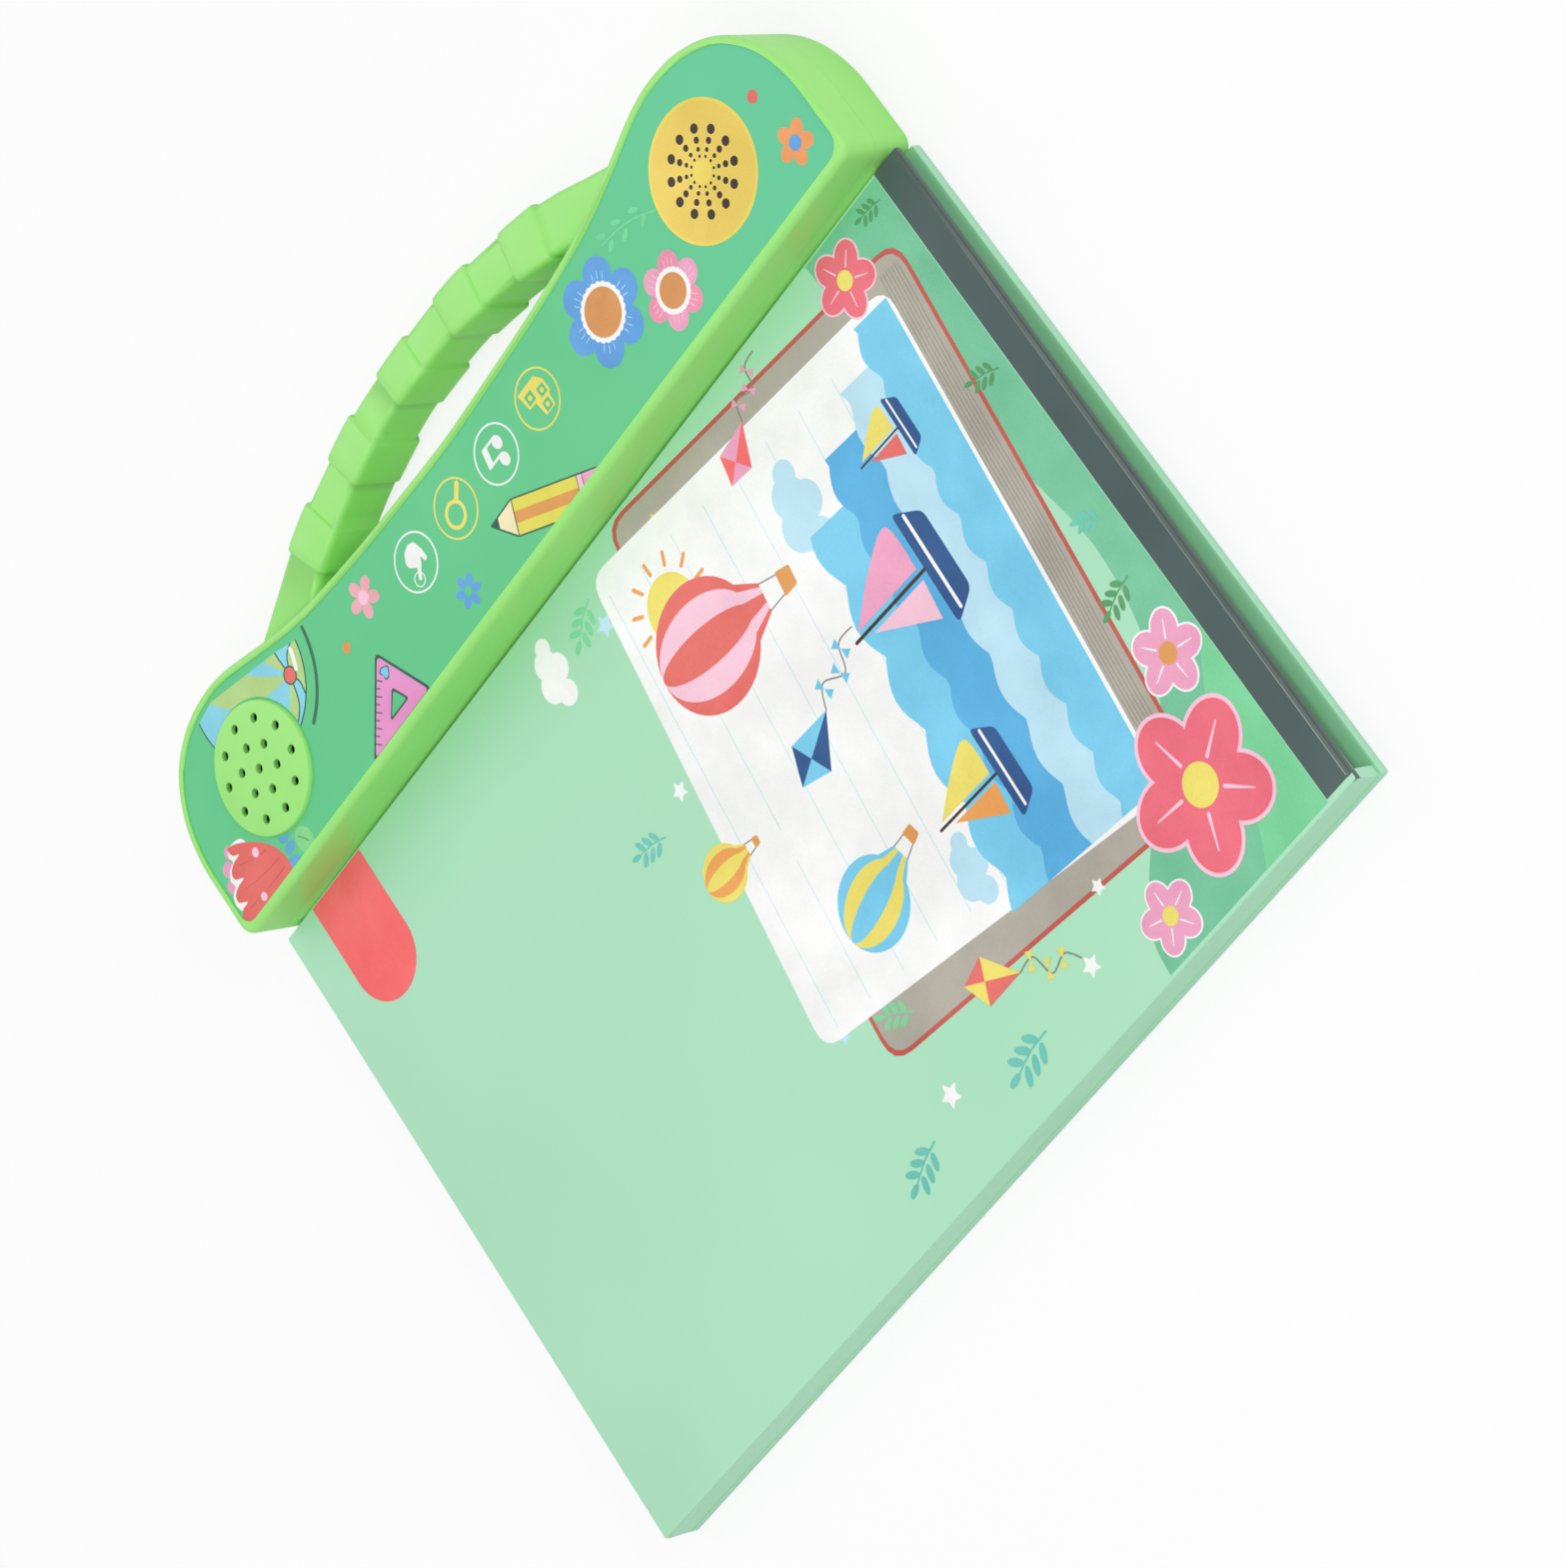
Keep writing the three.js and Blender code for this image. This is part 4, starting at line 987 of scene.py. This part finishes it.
def ray_dots_tree():
    """Dots in rays round a centre, larger towards the rim."""
    tree = Tree("ray_dots")
    centre, rays, rings, inner, size, edge, height, material = tree.inputs(
        ("Centre", "Vector", (0, 0, 0)), ("Rays", "Int", 12), ("Rings", "Int", 4), ("Inner radius", "Float", 0.0031),
        ("Smallest dot", "Float", 0.00035), ("Added edge", "Float", 0.0), ("Height", "Float", 0.00004),
        ("Ink", "Material", None),
    )
    index = tree.index()
    step = tree.math("FLOOR", tree.over(tree.plus(index, 0.5), rays))
    square = tree.times(step, step)

    def growing(first, by_step, by_square):
        return tree.plus(first, tree.plus(tree.times(step, by_step), tree.times(square, by_square)))

    angle = tree.times(tree.over(tree.math("MODULO", index, rays), rays), 2 * math.pi)
    radius = growing(inner, 0.00115, 0.00024)
    dot = tree.plus(growing(size, 0.000115, 0.00004), edge)
    x = tree.times(radius, tree.math("COSINE", angle))
    y = tree.times(radius, tree.math("SINE", angle))
    place = tree.node("ShaderNodeVectorMath", {0: centre, 1: tree.vector(X=x, Y=y)}, operation="ADD").outputs[0]
    scale = tree.vector(X=dot, Y=dot, Z=height)
    return tree.finish(tree.spread(tree.drum(20), tree.times(rays, rings), place, Scale=scale), material)


def petals_tree():
    """Equal petals turned round a centre."""
    tree = Tree("petals")
    centre, count, turn, reach, long, short, height, material = tree.inputs(
        ("Centre", "Vector", (0, 0, 0)), ("Petals", "Int", 6), ("Turn", "Float", 0.0), ("Reach", "Float", 0.004),
        ("Petal length", "Float", 0.003), ("Petal width", "Float", 0.003), ("Height", "Float", 0.00004),
        ("Ink", "Material", None),
    )
    index = tree.index()
    angle = tree.plus(turn, tree.times(tree.over(index, count), 2 * math.pi))
    petal = tree.moved(tree.drum(28), tree.vector(X=reach), Scale=tree.vector(X=long, Y=short, Z=height))
    own = tree.plus(1.0, tree.times(index, 0.006))
    scale = tree.vector(X=1.0, Y=1.0, Z=own)
    return tree.finish(tree.spread(petal, count, centre, Rotation=tree.vector(Z=angle), Scale=scale), material)


def screw_tree():
    """Cross-head screw pointing up, with its thread."""
    tree = Tree("cross_screw")
    place, head, thick, length, core, pitch, material = tree.inputs(
        ("Place", "Vector", (0, 0, 0)), ("Head radius", "Float", 0.0026), ("Head height", "Float", 0.0017),
        ("Length", "Float", 0.0127), ("Core radius", "Float", 0.00095), ("Pitch", "Float", 0.0008),
        ("Metal", "Material", None),
    )

    def cone(vertices, top, bottom, depth):
        sizes = {"Vertices": vertices, "Radius Top": top, "Radius Bottom": bottom, "Depth": depth}
        return tree.node("GeometryNodeMeshCone", sizes).outputs["Mesh"]

    blank = cone(40, head, tree.times(head, 0.82), thick)
    deep = tree.times(thick, 0.55)
    cross = tree.node("GeometryNodeMeshBoolean", {"Mesh 1": blank}, operation="DIFFERENCE", solver="EXACT")
    for x, y in ((1.08, 0.26), (0.26, 1.08)):
        size = tree.vector(X=tree.times(head, x), Y=tree.times(head, y), Z=tree.times(deep, 2.0))
        tree.feed(cross.inputs["Mesh 2"], tree.node("GeometryNodeMeshCube", {"Size": size}).outputs["Mesh"])
    tip = tree.minus(length, 0.001)
    middle = tree.plus(tree.times(tip, 0.5), tree.times(deep, 1.05))
    stem = tree.moved(tree.drum(20, core, tip), tree.vector(Z=middle))
    point = tree.moved(cone(20, 0.0001, core, 0.001), tree.vector(Z=tip))
    ridge = cone(20, core, tree.plus(core, 0.00025), tree.times(pitch, 0.5))
    count = tree.math("FLOOR", tree.over(tree.minus(tip, thick), pitch))
    height = tree.plus(tree.times(tree.plus(tree.index(), 0.5), pitch), thick)
    thread = tree.spread(ridge, count, tree.vector(Z=height))
    whole = tree.node("GeometryNodeJoinGeometry")
    for geometry in (cross.outputs["Mesh"], stem, point, thread):
        tree.feed(whole.inputs[0], geometry)
    return tree.finish(tree.moved(whole.outputs[0], place), material)


ray_dots = ray_dots_tree()
petals = petals_tree()
screws = screw_tree()
film_level = FILM_TOP - INK_ROOT


def ink_height(layer):
    return (INK_ROOT + INK_LIFT + INK_LAYER * layer) * 2 * MM


printed = []
for name, ink_name, edge, layer in (("dot_edges", "dot_edge", 0.00016, 4), ("dots", "dark", 0.0, 5)):
    printed.append(ray_dots.grow("speaker_" + name, {
        "Centre": spot(*DISC, film_level), "Added edge": edge, "Height": ink_height(layer), "Ink": ink_of(ink_name)
    }))


def flower(name, x, y, count, turn, petal, colours, heart, heart_r, streaks=None):
    """Petals in one colour or two by turns, with a heart; a large one has a white scalloped ring and streaks too."""
    level = spot(x, y, film_level)
    made = []

    def add(part, number, angle, reach, long, short, layer, colour):
        made.append(petals.grow(name + part, {
            "Centre": level, "Petals": number, "Turn": math.radians(angle), "Reach": reach * MM,
            "Petal length": long * MM, "Petal width": short * MM, "Height": ink_height(layer), "Ink": ink_of(colour),
        }))

    for i, colour in enumerate(colours):
        add("_petals", count // len(colours), turn + i * 360 / count, *petal, 1 + 0.4 * i, colour)
    if streaks:
        for angle in (-11, 0, 11):
            reach = heart_r + 2.1 + 0.3 * math.cos(math.radians(angle * 8))
            add("_streaks", count, turn + angle, reach, 0.9, 0.09, 3, streaks)
        add("_ring", 24, 0, heart_r + 0.2, 0.95, 0.95, 4, "white")
    add("_heart", 1, 0, 0, heart_r, heart_r, 6, heart)
    return made


pinks = ("petal_pink", "petal_rose")
for row in (
    ("blue_flower", 184.1, 63.7, 6, 28, (7.5, 4.0, 4.05), ("petal_blue",), "heart_orange", 5.2, "pale_blue"),
    ("pink_flower", 174.0, 46.6, 6, 30, (5.3, 2.95, 2.85), pinks, "heart_orange", 3.7, "pale_pink"),
    ("small_pink_flower", 189.6, 157.6, 5, 18, (2.9, 1.9, 1.45), ("petal_salmon",), "pale_pink", 1.6),
    ("small_blue_flower", 170.0, 133.1, 6, 10, (2.4, 1.5, 1.0), ("petal_blue",), "film_green", 1.1),
    ("orange_flower", 172.0, 2.4, 5, 21, (2.9, 2.0, 1.7), ("petal_orange",), "petal_blue", 1.6),
):
    printed += flower(*row)



def joined(name, pieces):
    bpy.ops.object.select_all(action="DESELECT")
    for piece in pieces:
        piece.select_set(True)
    bpy.context.view_layer.objects.active = pieces[0]
    bpy.ops.object.join()
    pieces[0].name = name
    return pieces[0]


flowers = joined("film_flowers_and_dots", printed)
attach(flowers, "book")

turned_screws = []
screw_names = ["housing_screw_%d" % (i + 1) for i in range(7)] + ["door_screw"]
for name in screw_names:
    low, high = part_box(name)
    turned_screws.append(screws.grow(name + "_turned", {
        "Place": ((low.x + high.x) / 2, (low.y + high.y) / 2, low.z),
        "Head height": 0.0006 if name == "door_screw" else 0.0017,
        "Length": high.z - low.z,
        "Metal": steel,
    }))
screw_set = joined("cross_head_screws", turned_screws)
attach(screw_set, "book")
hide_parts(*screw_names)


# Cover paper that bends over the crease

wrap_points = [(7.4, 0.02), (7.9, 0.05), (8.25, 0.07), (8.55, 0.08), (8.85, 0.07), (9.2, 0.05), (9.7, 0.02)]
vertices, faces = [], []
for y in (MIDDLE_Y - CREASE_HALF, MIDDLE_Y + CREASE_HALF):
    vertices += [spot(SPINE_X - lift, y, z) for z, lift in wrap_points]
    vertices += [spot(SPINE_X + 0.05, y, z) for z, lift in reversed(wrap_points)]
count = len(wrap_points) * 2
for i in range(count):
    j = (i + 1) % count
    faces.append((i, i + count, j + count, j))
for a in range(len(wrap_points) - 1):
    b, c, d = a + 1, count - 2 - a, count - 1 - a
    faces.append((a, b, c, d))
    faces.append((d + count, c + count, b + count, a + count))
crease = new_object("crease_paper", vertices, faces, [FACES["back_cover_and_spine"]])
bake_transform(crease)


# Floor, backdrop and light


def studio():
    corners = [(-6, -6, -0.0002), (6, -6, -0.0002), (6, 6, -0.0002), (-6, 6, -0.0002)]
    floor = new_object("studio_floor", corners, [(0, 1, 2, 3)], [])
    material = bpy.data.materials.new("studio_floor")
    material.use_nodes = True
    nodes = Nodes(material.node_tree)
    shader = nodes.tree.nodes["Principled BSDF"]
    shader.inputs["Base Color"].default_value = (0.9, 0.9, 0.9, 1)
    shader.inputs["Roughness"].default_value = 0.9
    seen = nodes.node("ShaderNodeLightPath").outputs["Is Camera Ray"]
    white = nodes.node("ShaderNodeEmission").outputs[0]
    mixed = nodes.node("ShaderNodeMixShader", {0: nodes.times(seen, FLOOR_WHITE), 1: shader.outputs[0], 2: white})
    nodes.feed(nodes.tree.nodes["Material Output"].inputs["Surface"], mixed.outputs[0])
    floor.data.materials.append(material)
    world = bpy.data.worlds.new("studio")
    bpy.context.scene.world = world
    world.use_nodes = True
    world.node_tree.nodes.clear()
    nodes = Nodes(world.node_tree)
    path = nodes.node("ShaderNodeLightPath").outputs
    seen = nodes.math("MAXIMUM", path["Is Camera Ray"], path["Is Glossy Ray"])
    seen = nodes.math("MAXIMUM", seen, path["Is Transmission Ray"])
    soft = nodes.node("ShaderNodeBackground", {"Color": (1, 1, 1, 1), "Strength": WORLD_LIGHT}).outputs[0]
    white = nodes.node("ShaderNodeBackground", {"Color": (1, 1, 1, 1), "Strength": 1.0}).outputs[0]
    mixed = nodes.node("ShaderNodeMixShader", {0: seen, 1: soft, 2: white}).outputs[0]
    nodes.node("ShaderNodeOutputWorld", {"Surface": mixed})


def lamp(name, place, size, energy):
    """Square lamp that points at the middle of the book's underside."""
    data = bpy.data.lights.new(name, "AREA")
    data.size = size
    data.energy = energy
    made = placed(name, data)
    made.location = place
    made.rotation_euler = (-Vector(place)).to_track_quat("-Z", "Y").to_euler()


studio()
lamp("key_light", (-0.42, 0.1, 1.35), 1.1, 7.1)
lamp("tail_light", (-0.15, -1.3, 0.7), 1.1, 7.0)
lamp("side_light", (0.9, 0.5, 0.9), 0.9, 2.4)

camera_data = bpy.data.cameras.new("photo_camera")
camera_data.sensor_width = 36
camera_data.lens = 135.007
camera = placed("photo_camera", camera_data)
camera.location = (BOOK_X - 0.345206, -0.677255, 0.882748)
bpy.context.scene.camera = camera
right = Vector((-0.53198384, -0.5252249, -0.66417769))
up = Vector((0.76211858, -0.63882436, -0.10525544))
back = Vector((-0.36901011, -0.56217635, 0.74012789))
camera.rotation_mode = "QUATERNION"
camera.rotation_quaternion = Matrix((right, up, back)).transposed().to_quaternion()
bpy.context.scene.view_settings.view_transform = "Standard"
